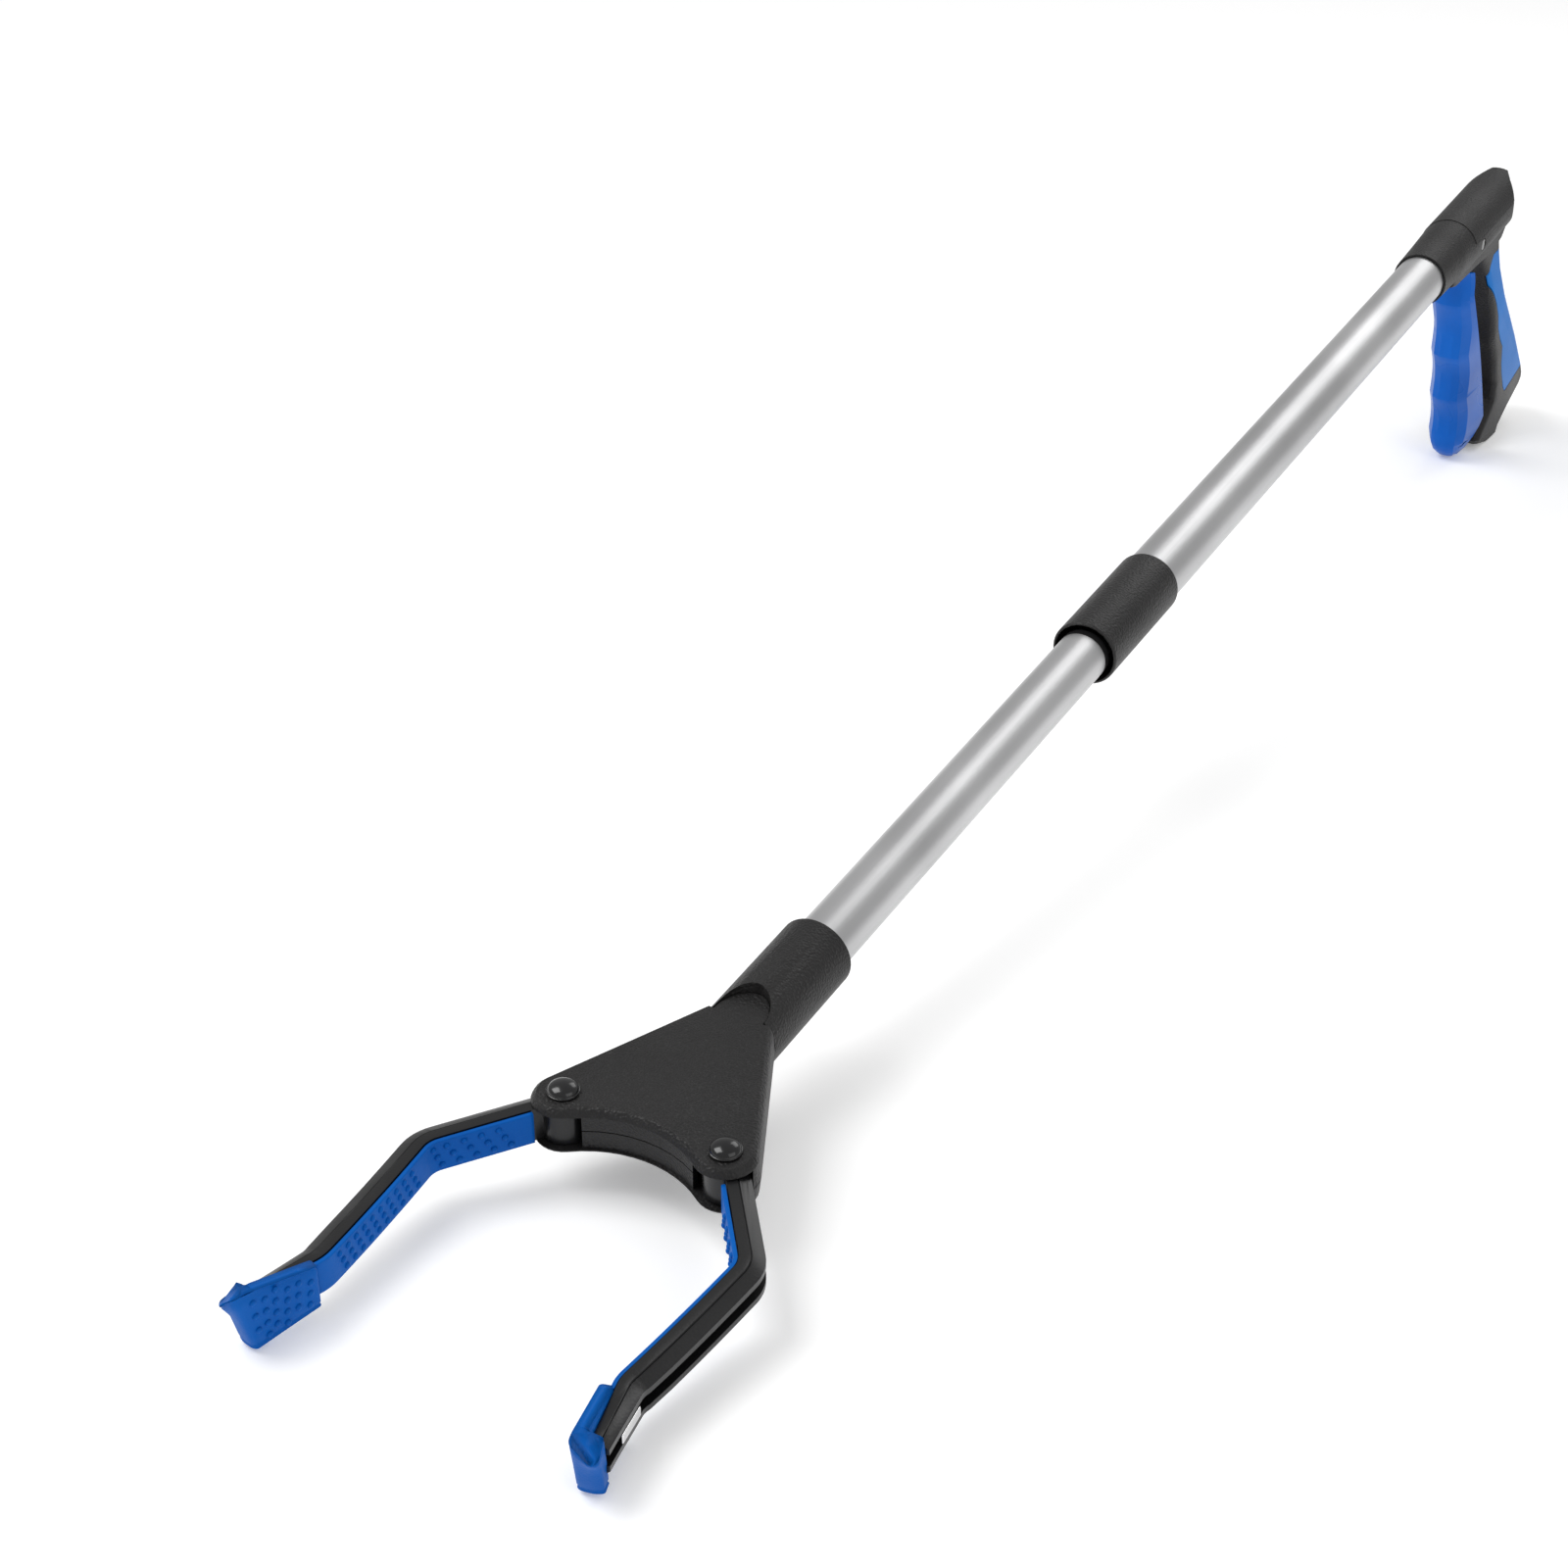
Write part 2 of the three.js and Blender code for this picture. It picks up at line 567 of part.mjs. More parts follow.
// Rubber tip: a wedge-shaped block over the inner face and the end of the arm.
const PAD_REAR = 4.1; // from the wrist, along the tip
const PAD_END = PAD_REAR + PAD_LENGTH;
const PAD_SOFTENED = 0.7;
const padOutline = (draw) => {
  const face = -GAP - PAD_THICKNESS;
  const back = TIP_REACH + GAP + 0.1;
  return [
    [PAD_REAR + draw, face + draw],
    [PAD_END - 2 - draw, face + draw],
    [PAD_END - draw, face + 2 + draw],
    [PAD_END - draw, 3 - draw],
    [PAD_END - 1.4 - draw, 4.4 - draw],
    [back + draw, 4.4 - draw],
    [back + draw, -GAP - draw],
    [PAD_REAR + draw, -GAP - draw],
  ];
};

// A corner of the pad: along the tip, outwards, and above or below its middle.
function padCorner(s, u, side, drop) {
  const along = (x) => WRIST.x - x * Math.cos(TIP_FLARE);
  const spread = (PAD_FRONT_HEIGHT - PAD_REAR_HEIGHT) / 2 / PAD_LENGTH;
  const height = PAD_REAR_HEIGHT / 2 + spread * (s - PAD_REAR) - drop;
  const [low, high] = [riseAt(along(PAD_REAR)), riseAt(along(PAD_END))];
  const middle = low + ((high - low) * (s - PAD_REAR)) / PAD_LENGTH;
  const x = along(s) + u * Math.sin(TIP_FLARE);
  const y = WRIST.y + s * Math.sin(TIP_FLARE) + u * Math.cos(TIP_FLARE);
  return new THREE.Vector3(x, y, middle + side * height);
}

const leftPad = () => {
  const ring = (draw, side, drop) => padOutline(draw).map(([s, u]) => padCorner(s, u, side, drop));
  const soft = PAD_SOFTENED;
  const rings = [ring(soft, -1, 0), ring(0, -1, soft), ring(0, 1, soft), ring(soft, 1, 0)];
  return loft(rings, padOutline(0).map(([s, u]) => new THREE.Vector2(s, u)));
};

// Magnet pressed into the outer channel of the right jaw's tip (drawn on the left arm).
const magnetOnLeft = () => {
  const section = [[3.1, 1.35], [6.7, 1.35], [6.7, -1.35], [3.1, -1.35]];
  return alongPath(pathBetween(armPath(), WRIST.x - 4, WRIST.x - 14), section, tipSqueeze);
};

// ---------------------------------------------------------------- yoke and spring
const YOKE_END = 26;
const EYE = 2.4; // radius of the yoke's eyes
const yoke = () => {
  const bar = (z0, z1) => {
    const tips = [1, -1].map((side) => barZ(EYE, z0, z1, YOKE_PIN_X, side * YOKE_PIN_Y));
    const web = box(YOKE_PIN_X - EYE, YOKE_PIN_X + EYE, -YOKE_PIN_Y, YOKE_PIN_Y, z0, z1);
    return [web, ...tips];
  };
  const inner = LEVER_HALF_THICKNESS + RUN;
  const outer = CAVITY_HALF - 0.6;
  const stem = box(YOKE_PIN_X - EYE, YOKE_END, -5.5, 5.5, -outer, outer);
  const pocket = CABLE_BALL_RADIUS + RUN;
  const slit = CABLE_RADIUS + RUN;
  return carve([stem, ...bar(inner, outer), ...bar(-outer, -inner)], [
    barZ(YOKE_PIN_RADIUS + 0.15, -9, 9, YOKE_PIN_X, YOKE_PIN_Y),
    barZ(YOKE_PIN_RADIUS + 0.15, -9, 9, YOKE_PIN_X, -YOKE_PIN_Y),
    barX(pocket, CABLE_BALL_X - pocket, CABLE_BALL_X + pocket),
    box(CABLE_BALL_X - pocket, CABLE_BALL_X + pocket, -pocket, pocket, 0, 9),
    barX(slit, CABLE_BALL_X, YOKE_END + 1, 0, 0, 16),
    box(CABLE_BALL_X, YOKE_END + 1, -slit, slit, 0, 9),
  ]);
};

const yokePin = (side) => {
  const half = CAVITY_HALF - 0.7;
  return barZ(YOKE_PIN_RADIUS, -half, half, YOKE_PIN_X, side * YOKE_PIN_Y);
};

const SEAT_X = PLATE_END - 1;
const SPRING_RADIUS = 4;
const SPRING_WIRE = 0.55;
const SPRING_TURNS = 6;
const springSeat = () => carve(
  [box(SEAT_X, SEAT_X + 2, -7, 7, -CAVITY_HALF + GAP, CAVITY_HALF - GAP)],
  [barX(CABLE_RADIUS + 0.9, SEAT_X - 1, SEAT_X + 3, 0, 0, 16)],
);

class SpringCurve extends THREE.Curve {
  getPoint(t, target = new THREE.Vector3()) {
    const angle = 2 * Math.PI * SPRING_TURNS * t;
    const x0 = YOKE_END + GAP + SPRING_WIRE;
    const x1 = SEAT_X - GAP - SPRING_WIRE;
    const x = x0 + (x1 - x0) * t;
    return target.set(x, SPRING_RADIUS * Math.cos(angle), SPRING_RADIUS * Math.sin(angle));
  }
}

const returnSpring = () => {
  const wire = new THREE.Shape().absarc(0, 0, SPRING_WIRE, 0, 2 * Math.PI, false);
  const settings = { steps: SPRING_TURNS * 16, extrudePath: new SpringCurve(), curveSegments: 3 };
  return new THREE.ExtrudeGeometry(wire, settings);
};

// ---------------------------------------------------------------- swivel and tubes
const swivelSpigot = () => carve([turned([
  [CABLE_RADIUS + 0.9, BULKHEAD_START - 4],
  [4.2, BULKHEAD_START - 4],
  [4.2, BULKHEAD_START - 3],
  [3.3, BULKHEAD_START - 3],
  [3.3, BULKHEAD_START - 1.4],
  [4.2, BULKHEAD_START - 1.4],
  [4.2, BULKHEAD_END + RUN],
  [LOWER_RADIUS - 0.05, BULKHEAD_END + RUN],
  [LOWER_RADIUS - 0.05, LOWER_TUBE_START - GAP],
  [LOWER_BORE - GAP, LOWER_TUBE_START - GAP],
  [LOWER_BORE - GAP, LOWER_TUBE_START + 14],
  [CABLE_RADIUS + 0.9, LOWER_TUBE_START + 14],
], 32)], [barY(1.5, 0, 20, SPIGOT_PIN_X, 0, 16)]);

const retainingRing = () => carve(
  [pipe(5.2, 3.5, BULKHEAD_START - 2.8, BULKHEAD_START - 1.6, 32)],
  [box(BULKHEAD_START - 4, BULKHEAD_START, -1.6, 1.6, 0, 9)],
);

const SPIGOT_PIN_X = LOWER_TUBE_START + 7;
const crossHole = (x, radius = 1.5) => barY(radius, -20, 20, x, 0, 16);
const crossPin = (x, half) => {
  const [y0, y1] = [CABLE_RADIUS + 1.4, half - 0.05];
  return barY(1.3, y0, y1, x, 0, 16);
};

const FITTING_SCREW_X = LOWER_TUBE_END - 9;
const HANDLE_PIN_X = BARREL_START + 13;
const UPPER_PIN_X = UPPER_TUBE_START + 5;

const lowerTube = () => carve([pipe(LOWER_RADIUS, LOWER_BORE, LOWER_TUBE_START, LOWER_TUBE_END)], [
  barY(1.5, 0, 20, SPIGOT_PIN_X, 0, 16),
  barZ(1.6, -20, 0, FITTING_SCREW_X, 0, 16),
]);

const upperTube = () => carve([pipe(UPPER_RADIUS, UPPER_BORE, UPPER_TUBE_START, UPPER_TUBE_END)], [
  barY(1.5, 0, 20, UPPER_PIN_X, 0, 16),
  barY(1.5, 0, 20, HANDLE_PIN_X, 0, 16),
]);

const lockCollar = () => {
  const [x0, x1] = [COLLAR_START, COLLAR_START + COLLAR_LENGTH];
  return turned([
    [COLLAR_BORE, x0], [COLLAR_RADIUS - 0.4, x0], [COLLAR_RADIUS, x0 + 0.6],
    [COLLAR_RADIUS, x1 - 0.6], [COLLAR_RADIUS - 0.4, x1], [COLLAR_BORE, x1],
  ]);
};

// ---------------------------------------------------------------- fold joint
const cableHeight = (x) => {
  if (x < CABLE_LEVEL_END) return 0;
  if (x < FOLD_X) {
    return (FOLD_HEIGHT * (x - CABLE_LEVEL_END)) / (FOLD_X - CABLE_LEVEL_END);
  }
  return FOLD_HEIGHT + ((ANCHOR.z - FOLD_HEIGHT) * (x - FOLD_X)) / (ANCHOR.x - FOLD_X);
};
const cableRoom = (x0, x1, room) =>
  rodThrough([[x0, cableHeight(x0)], [x1, cableHeight(x1)]], CABLE_RADIUS + room, 12);

const INNER_EARS = [1.25, 2.4];
const OUTER_EARS = [2.75, 5];
const EAR_LENGTH = 8; // from the fold axis to the body of each fitting
const ears = ([near, far], towards, bottom) => [1, -1].flatMap((side) => {
  const [y0, y1] = side > 0 ? [near, far] : [-far, -near];
  const [x0, x1] = towards > 0 ? [FOLD_X, FOLD_X + EAR_LENGTH + 1] : [FOLD_X - EAR_LENGTH - 1, FOLD_X];
  return [
    barY(EAR_RADIUS, y0, y1, FOLD_X, FOLD_HEIGHT, 32),
    box(x0, x1, y0, y1, bottom, FOLD_HEIGHT + 1.2),
  ];
});

const lowerFitting = () => {
  const neckStart = LOWER_TUBE_END + GAP;
  const risen = barX(UPPER_RADIUS - 0.1, neckStart - 1, FOLD_X - EAR_LENGTH, 0, -COLLAR_LIFT, 48);
  const neck = common(barX(LOWER_RADIUS - 0.2, COLLAR_START, FOLD_X - EAR_LENGTH, 0, 0, 48), risen);
  const plug = barX(LOWER_BORE - GAP, LOWER_TUBE_END - 18, neckStart + 0.5, 0, 0, 48);
  const flange = barX(LOWER_RADIUS, neckStart, COLLAR_START + 0.5, 0, 0, 48);
  return carve([plug, flange, neck, ...ears(INNER_EARS, -1, -1.5)], [
    barY(HINGE_PIN_RADIUS + RUN, -6, 6, FOLD_X, FOLD_HEIGHT),
    cableRoom(LOWER_TUBE_END - 25, FOLD_X, 0.45),
    barZ(1.2, -20, 0, FITTING_SCREW_X, 0, 16),
  ]);
};

// The folded pole lies over the upper fitting at this slope, so its top is cut back to match.
const FOLD_LIMIT = THREE.MathUtils.degToRad(150);
const foldRoof = () => {
  const slope = Math.tan(Math.PI - FOLD_LIMIT);
  const at = (x) => FOLD_HEIGHT + slope * x - 2.2;
  return sideSolid([
    [FOLD_X + EAR_LENGTH - 0.5, at(EAR_LENGTH - 0.5)],
    [FOLD_X + 40, at(40)],
    [FOLD_X + EAR_LENGTH - 0.5, at(40)],
  ], 20);
};

const upperFitting = () => {
  const body = barX(COLLAR_BORE - 0.6, FOLD_X + EAR_LENGTH, UPPER_TUBE_START - GAP, 0, 0, 48);
  const plug = barX(UPPER_BORE - GAP, UPPER_TUBE_START - 1, UPPER_TUBE_START + 20, 0, 0, 48);
  return carve([body, plug, ...ears(OUTER_EARS, 1, -3)], [
    barY(HINGE_PIN_RADIUS + 0.15, -6, 6, FOLD_X, FOLD_HEIGHT),
    cableRoom(FOLD_X, UPPER_TUBE_START + 30, 0.9),
    foldRoof(),
    barY(1.5, 0, 20, UPPER_PIN_X, 0, 16),
  ]);
};

const hingePin = (side) => {
  const [near, far] = [INNER_EARS[0] + 0.05, OUTER_EARS[1] + 0.1];
  const [y0, y1] = side > 0 ? [near, far] : [-far, -near];
  return barY(HINGE_PIN_RADIUS, y0, y1, FOLD_X, FOLD_HEIGHT, 20);
};

// ---------------------------------------------------------------- cable
const cableLower = () => {
  const end = FOLD_X - CABLE_BEND_HALF - GAP;
  const route = [CABLE_BALL_X, CABLE_LEVEL_END, end].map((x) => [x, cableHeight(x)]);
  const ball = new THREE.SphereGeometry(CABLE_BALL_RADIUS, 16, 10).translate(CABLE_BALL_X, 0, 0);
  return carve([rodThrough(route, CABLE_RADIUS), ball]);
};

const cableBend = () => {
  const xs = [FOLD_X - CABLE_BEND_HALF, FOLD_X, FOLD_X + CABLE_BEND_HALF];
  return rodThrough(xs.map((x) => [x, cableHeight(x)]), CABLE_RADIUS);
};

const NIPPLE_RADIUS = 1.8;
const cableUpper = () => {
  const start = FOLD_X + CABLE_BEND_HALF + GAP;
  const route = [start, ANCHOR.x].map((x) => [x, cableHeight(x)]);
  const nipple = barY(NIPPLE_RADIUS, -3.9, 3.9, ANCHOR.x, ANCHOR.z, 20);
  return carve([rodThrough(route, CABLE_RADIUS), nipple]);
};

// ---------------------------------------------------------------- trigger
// Side view of the trigger. Its front edge is scalloped for the fingers; its rear edge leans back
// more than the front, so the trigger gets deeper towards its foot.
const TRIGGER_TOP = -9;
const TRIGGER_FULL_END = -99; // below this the foot is rounded off
const FINGER_RIDGES = [-9, -29, -56, -79, -101];
const SCALLOP = 2.8;
const TRIGGER_HALF_WIDTH = 9.4;
const TRIGGER_WALL = 2;
const CHANNEL_TOP = -36;

// Depth of a row of finger hollows at a height: nothing on each ridge, full depth halfway between.
const hollowDepth = (z, ridges, depth) => {
  const i = ridges.findIndex((ridge, k) => k > 0 && z >= ridge);
  if (i < 1) return 0;
  const [top, bottom] = [ridges[i - 1], ridges[i]];
  return depth * Math.sin((Math.PI * (top - z)) / (top - bottom));
};

const frontEdge = (z) => 637.2 + (-29 - z) * 0.3 + hollowDepth(z, FINGER_RIDGES, SCALLOP);
const rearEdge = (z) => {
  const share = THREE.MathUtils.clamp((-16 - z) / 83, 0, 1);
  return 636.2 + (-16 - z) * 0.61 + 2.5 * Math.sin(Math.PI * share);
};

const rotated = (x, z, angle) => {
  const [dx, dz] = [x - TRIGGER_PIVOT.x, z - TRIGGER_PIVOT.z];
  return [
    TRIGGER_PIVOT.x + dx * Math.cos(angle) - dz * Math.sin(angle),
    TRIGGER_PIVOT.z + dx * Math.sin(angle) + dz * Math.cos(angle),
  ];
};

const levelsBetween = (top, bottom, steps) =>
  Array.from({ length: steps + 1 }, (_, i) => top + ((bottom - top) * i) / steps);

const triggerRing = (z, front, rear, shrink) => {
  const half = TRIGGER_HALF_WIDTH - shrink;
  const facet = Math.min(6.5, (rear - front) * 0.6);
  const nose = Math.min(5.4, half * 0.6);
  const right = [
    [front, -nose * 0.45],
    [front + facet * 0.22, -nose],
    [front + facet, -half + 1.2],
    [rear, -half],
  ];
  const left = right.slice().reverse().map(([x, y]) => [x, -y]);
  return [...right, ...left].map(([x, y]) => new THREE.Vector3(x, y, z));
};

const triggerSkin = () => {
  const rings = levelsBetween(TRIGGER_TOP, TRIGGER_FULL_END, 40).map((z) =>
    triggerRing(z, frontEdge(z), Math.max(rearEdge(z), frontEdge(z) + 4), 0));
  const foot = [
    [-103.5, 659.3, 685.3, 0.8], [-107.5, 661.5, 681.5, 2], [-110.7, 665, 677, 3.6],
    [-112.5, 668.5, 672.5, 5.5],
  ];
  rings.push(...foot.map((values) => triggerRing(...values)));
  return loft(rings, rings[0].map((p) => new THREE.Vector2(p.x, p.y)));
};

const triggerChannel = () => {
  const half = TRIGGER_HALF_WIDTH - TRIGGER_WALL;
  const ring = (z) => {
    const front = frontEdge(Math.max(z, TRIGGER_FULL_END)) + 3.4;
    const outline = [[front, -3.2], [front + 4.6, -half], [rearEdge(z) + 9, -half]];
    const other = outline.slice().reverse().map(([x, y]) => [x, -y]);
    return [...outline, ...other].map(([x, y]) => new THREE.Vector3(x, y, z));
  };
  const rings = levelsBetween(CHANNEL_TOP, -106, 24).map(ring);
  return loft(rings, rings[0].map((p) => new THREE.Vector2(p.x, p.y)));
};

const trigger = () => {
  const { x, z } = TRIGGER_PIVOT;
  const blade = sideSolid([
    [x - 2.8, z], [x - 2.8, z - 3], [ANCHOR.x - 3.4, ANCHOR.z + 1], [ANCHOR.x - 3.4, ANCHOR.z - 2.5],
    [631.5, -17], [638, -18], [x + 3.4, z - 3], [x + 2.8, z],
  ], 4.3);
  // The shoulder slopes so that it ends up level, just under the barrel, when fully squeezed.
  const rest = Math.tan(TRIGGER_SWING);
  const shoulder = (at) => -11.7 - rest * (at - x);
  const above = sideSolid([
    [600, shoulder(600)], [660, shoulder(660)], [660, 20], [600, 20],
  ], 20);
  const grip = carve([triggerSkin()], [above, triggerChannel()]);
  return carve([grip, blade, barY(2.8, -4.3, 4.3, x, z)], [
    barY(TRIGGER_PIN_RADIUS + RUN, -9, 9, x, z),
    barY(NIPPLE_RADIUS + RUN, -9, 9, ANCHOR.x, ANCHOR.z),
    box(ANCHOR.x - 9, ANCHOR.x, -1.3, 1.3, ANCHOR.z - 1.4, ANCHOR.z + 1.6),
  ]);
};

// ---------------------------------------------------------------- handle
const FOOT_X = 709; // middle of the flat foot of the grip
const FOOT_Z = -117.8;
const PAD_FOOT = padCorner(PAD_END - PAD_SOFTENED, -GAP - PAD_THICKNESS + PAD_SOFTENED, -1, 0);
const TILT = Math.atan2(PAD_FOOT.z - FOOT_Z, FOOT_X - PAD_FOOT.x);
const floorHeight = (x) => PAD_FOOT.z - (x - PAD_FOOT.x) * Math.tan(TILT);

// Front of the grip: a leaning edge with finger hollows, kept behind where the trigger ends up.
const GRIP_RIDGES = [-12, -36, -64, -89];
const gripFront = () => levelsBetween(-15, TRIGGER_FULL_END, 26)
  .map((z) => rotated(rearEdge(z), z, TRIGGER_SWING))
  .map(([x, z]) => {
    const lean = 671 + (z > -36 ? 0.9 : 0.53) * (-36 - z) + hollowDepth(z, GRIP_RIDGES, 1.8);
    return [Math.max(x + 1.4, lean), z];
  });

// The toe reaches forward under the trigger's foot, just clear of the arc that the foot travels.
const TOE_RADIUS = 127;
const toeTop = () => levelsBetween(702, 687, 4).map((x) =>
  [x, TRIGGER_PIVOT.z - Math.sqrt(TOE_RADIUS ** 2 - (x - TRIGGER_PIVOT.x) ** 2)]);

const GRIP_BACK = [
  [669, -4], [670.5, -8], [674.5, -16.4], [680, -25.6], [695, -44], [708.7, -58.5], [723, -73.7],
  [735.8, -88.5], [742.4, -96], [746.4, -101.7], [746.9, -105.4], [743.5, -108.3],
];
const GRIP_SOFTENED = 2.8;

const gripBody = () => {
  const outline = [
    [644, -6], ...gripFront(), ...toeTop(), [683.8, -110.6], [686.5, -113.4],
    [695, -116.6], [702, -122], [713, -122], [716, -117.4], [728, -112.8],
    ...GRIP_BACK.slice().reverse(),
  ];
  return sideSolid(outline, GRIP_HALF_WIDTH, GRIP_SOFTENED);
};

// Region of the grip that the soft backstrap covers, in side view; grow widens it for its seat.
const strapOutline = (grow) => [
  [664 - grow, -15 + grow], [661.5 - grow, -19], [663 - grow, -24.5], [667.5 - grow, -30 - grow],
  [675 - grow, -37 - grow], [681.5 - grow, -44 - grow], [687 - grow, -51.5], [690.5 - grow, -59],
  [696 - grow, -66 - grow], [702 - grow, -72], [705 - grow, -81.5], [708 - grow, -87.5],
  [714 - grow, -96.5 - grow], [717.5, -100 - grow], [744, -96.5 - grow], [760, -96.5 - grow],
  [760, -60], [700, -15 + grow],
];

const gripCore = (gap) => {
  const back = GRIP_BACK.map(([x, z]) => [x - STRAP_THICKNESS + gap, z + 1.2 - gap]);
  const outline = [[640, -4], [640, -125], [722, -124], ...back.slice().reverse()];
  return sideSolid(outline, GRIP_HALF_WIDTH - STRAP_THICKNESS + gap);
};

const backstrap = () => {
  const wrapped = common(gripBody(), sideSolid(strapOutline(0), 20));
  return carve([wrapped], [gripCore(GAP)]);
};

const COVER_START = 627;
const COVER_RADIUS = BARREL_RADIUS + 0.2;
const COVER_SEAM = 4;
const HANDLE_SCREW = { x: 637, z: 0 };
const LANYARD = { x: 684, z: -4 };
const LANYARD_RADIUS = 2.2;

const barrelProfile = (radius, x0) => [
  [0, x0],
  ...(x0 < COVER_START
    ? [[BARREL_MOUTH_RADIUS, x0], [(radius + BARREL_MOUTH_RADIUS) / 2 - 0.1, x0 + 17]]
    : []),
  [radius, Math.max(x0, COVER_START)], [radius, BARREL_END - 1.2], [radius - 0.8, BARREL_END],
  [0, BARREL_END],
];

// Plan outline that narrows the rear end of the barrel.
const rearTaper = () => {
  const side = [
    [500, 20], [675, 20], [675, 12.2], [678, 11.2], [680.5, 9.5], [684.5, 6.6], [689, 4.2], [693, 2.4],
  ];
  const other = side.slice().reverse().map(([x, y]) => [x, -y]);
  return planSolid(shapeOf([...other, ...side]), -30, 30);
};

const handleBody = () => {
  const barrel = common(turned(barrelProfile(BARREL_RADIUS, BARREL_START)), rearTaper());
  const keel = sideSolid([
    [606, -2], [606, -7.5], [612, -9.3], [640, -11.2], [660, -13], [673, -11], [677, -8], [677, -2],
  ], 9.6, 1.5);
  const seat = carve([sideSolid(strapOutline(GAP), 20)], [gripCore(0)]);
  const grip = carve([gripBody()], [seat]);
  const floor = sideSolid([
    [600, floorHeight(600)], [600, -200], [800, -200], [800, floorHeight(800)],
  ], 30);
  const hollow = barX(BARREL_RADIUS - BARREL_WALL, UPPER_TUBE_END + GAP, BARREL_END - 4, 0, 0, 40);
  const rearHollow = common(hollow, planSolid(shapeOf([
    [600, -20], [673, -20], [673, -9.4], [679, -7.4], [679, 7.4], [673, 9.4], [673, 20], [600, 20],
  ]), -30, 30));
  const gripHollow = sideSolid([
    [660, -2], [663.5, -22], [679, -42], [692.5, -66], [704, -82], [717, -100], [734, -98], [719, -77],
    [694, -50], [671, -22], [665.5, -2],
  ], 5);
  const shell = carve([barrel, keel, grip], [
    rearHollow,
    barX(BARREL_BORE, BARREL_START - 5, UPPER_TUBE_END + GAP + 0.5, 0, 0, 48),
    box(COVER_START, 800, -20, 20, COVER_SEAM - GAP, 20),
    gripHollow,
  ]);
  const cheeks = [1, -1].flatMap((side) => {
    const [y0, y1] = side > 0 ? [4.6, 5.9] : [-5.9, -4.6];
    return [
      box(TRIGGER_PIVOT.x - 2.8, TRIGGER_PIVOT.x + 2.8, y0, y1, -10, TRIGGER_PIVOT.z),
      barY(2.8, y0, y1, TRIGGER_PIVOT.x, TRIGGER_PIVOT.z),
    ];
  });
  const screwSeat = BARREL_RADIUS - 1.4;
  const inside = carve([barX(9.2, 600, 660), box(600, 660, -10, 10, -12, 0)]);
  return carve([shell, common(carve(cheeks), inside)], [
    box(UPPER_TUBE_END + 2.5, 650, -4.6, 4.6, -12.7, 8),
    barY(TRIGGER_PIN_RADIUS + 0.15, -9, 9, TRIGGER_PIVOT.x, TRIGGER_PIVOT.z),
    barY(1.5, 0, 20, HANDLE_PIN_X, 0, 16),
    barY(1.3, -20, 20, HANDLE_SCREW.x, HANDLE_SCREW.z, 16),
    barY(2.6, screwSeat, 20, HANDLE_SCREW.x, HANDLE_SCREW.z, 20),
    barY(2.6, -20, -screwSeat, HANDLE_SCREW.x, HANDLE_SCREW.z, 20),
    barY(LANYARD_RADIUS, -20, 20, LANYARD.x, LANYARD.z, 32),
    floor,
  ]);
};

const barrelCover = () => {
  const skin = common(turned(barrelProfile(COVER_RADIUS, COVER_START + GAP)), rearTaper());
  const shell = carve([skin], [
    barX(COVER_RADIUS - BARREL_WALL, COVER_START - 5, 679, 0, 0, 40),
    box(500, 800, -20, 20, -20, COVER_SEAM),
  ]);
  const tabs = [1, -1].map((side) => {
    const [y0, y1] = side > 0 ? [6.7, 8.2] : [-8.2, -6.7];
    return box(HANDLE_SCREW.x - 3.4, HANDLE_SCREW.x + 3.4, y0, y1, -2.8, 6.4);
  });
  return carve([shell, ...tabs], [barY(1, -20, 20, HANDLE_SCREW.x, HANDLE_SCREW.z, 16)]);
};

const handleScrew = (side) => {
  const seat = BARREL_RADIUS - 1.2;
  const [y0, y1] = side > 0 ? [6.6, seat] : [-seat, -6.6];
  const [h0, h1] = side > 0 ? [seat, seat + 0.9] : [-seat - 0.9, -seat];
  return carve([
    barY(0.85, y0 - 0.2, y1 + 0.2, HANDLE_SCREW.x, HANDLE_SCREW.z, 16),
    barY(2.2, h0, h1, HANDLE_SCREW.x, HANDLE_SCREW.z, 20),
  ]);
};

const handlePin = () => barY(1.3, UPPER_BORE - 0.8, UPPER_RADIUS + 0.8, HANDLE_PIN_X, 0, 16);
const triggerPin = () => barY(TRIGGER_PIN_RADIUS, -5.9, 5.9, TRIGGER_PIVOT.x, TRIGGER_PIVOT.z);

// ---------------------------------------------------------------- assembly
const tool = new THREE.Group();
const place = (name, geometry, material) => {
  const mesh = new THREE.Mesh(geometry, material);
  mesh.name = name;
  tool.add(mesh);
};
const bothSides = (name, geometry, material) => {
  place(`${name}_left`, geometry, material);
  place(`${name}_right`, mirrorY(geometry), material);
};

place('head_base', headBase(), BLACK_GRAINED);
place('head_cover', headCover(), BLACK_GRAINED);
HEAD_SCREWS.forEach((spot, i) => place(`head_screw_${i + 1}`, headScrew(spot), STEEL));
bothSides('jaw', leftJaw(), BLACK_GLOSS);
bothSides('jaw_liner', leftLiner(), BLUE_RUBBER);
bothSides('tip_pad', leftPad(), BLUE_RUBBER);
place('tip_magnet', mirrorY(magnetOnLeft()), STEEL);
bothSides('pivot_post', pivotPost(1), BLACK_GLOSS);
bothSides('pivot_screw', pivotScrew(1), STEEL);
place('yoke', yoke(), BLACK_GLOSS);
bothSides('yoke_pin', yokePin(1), STEEL);
place('return_spring', returnSpring(), STEEL);
place('spring_seat', springSeat(), STEEL);
place('swivel_spigot', swivelSpigot(), BLACK_GRAINED);
place('swivel_ring', retainingRing(), STEEL);
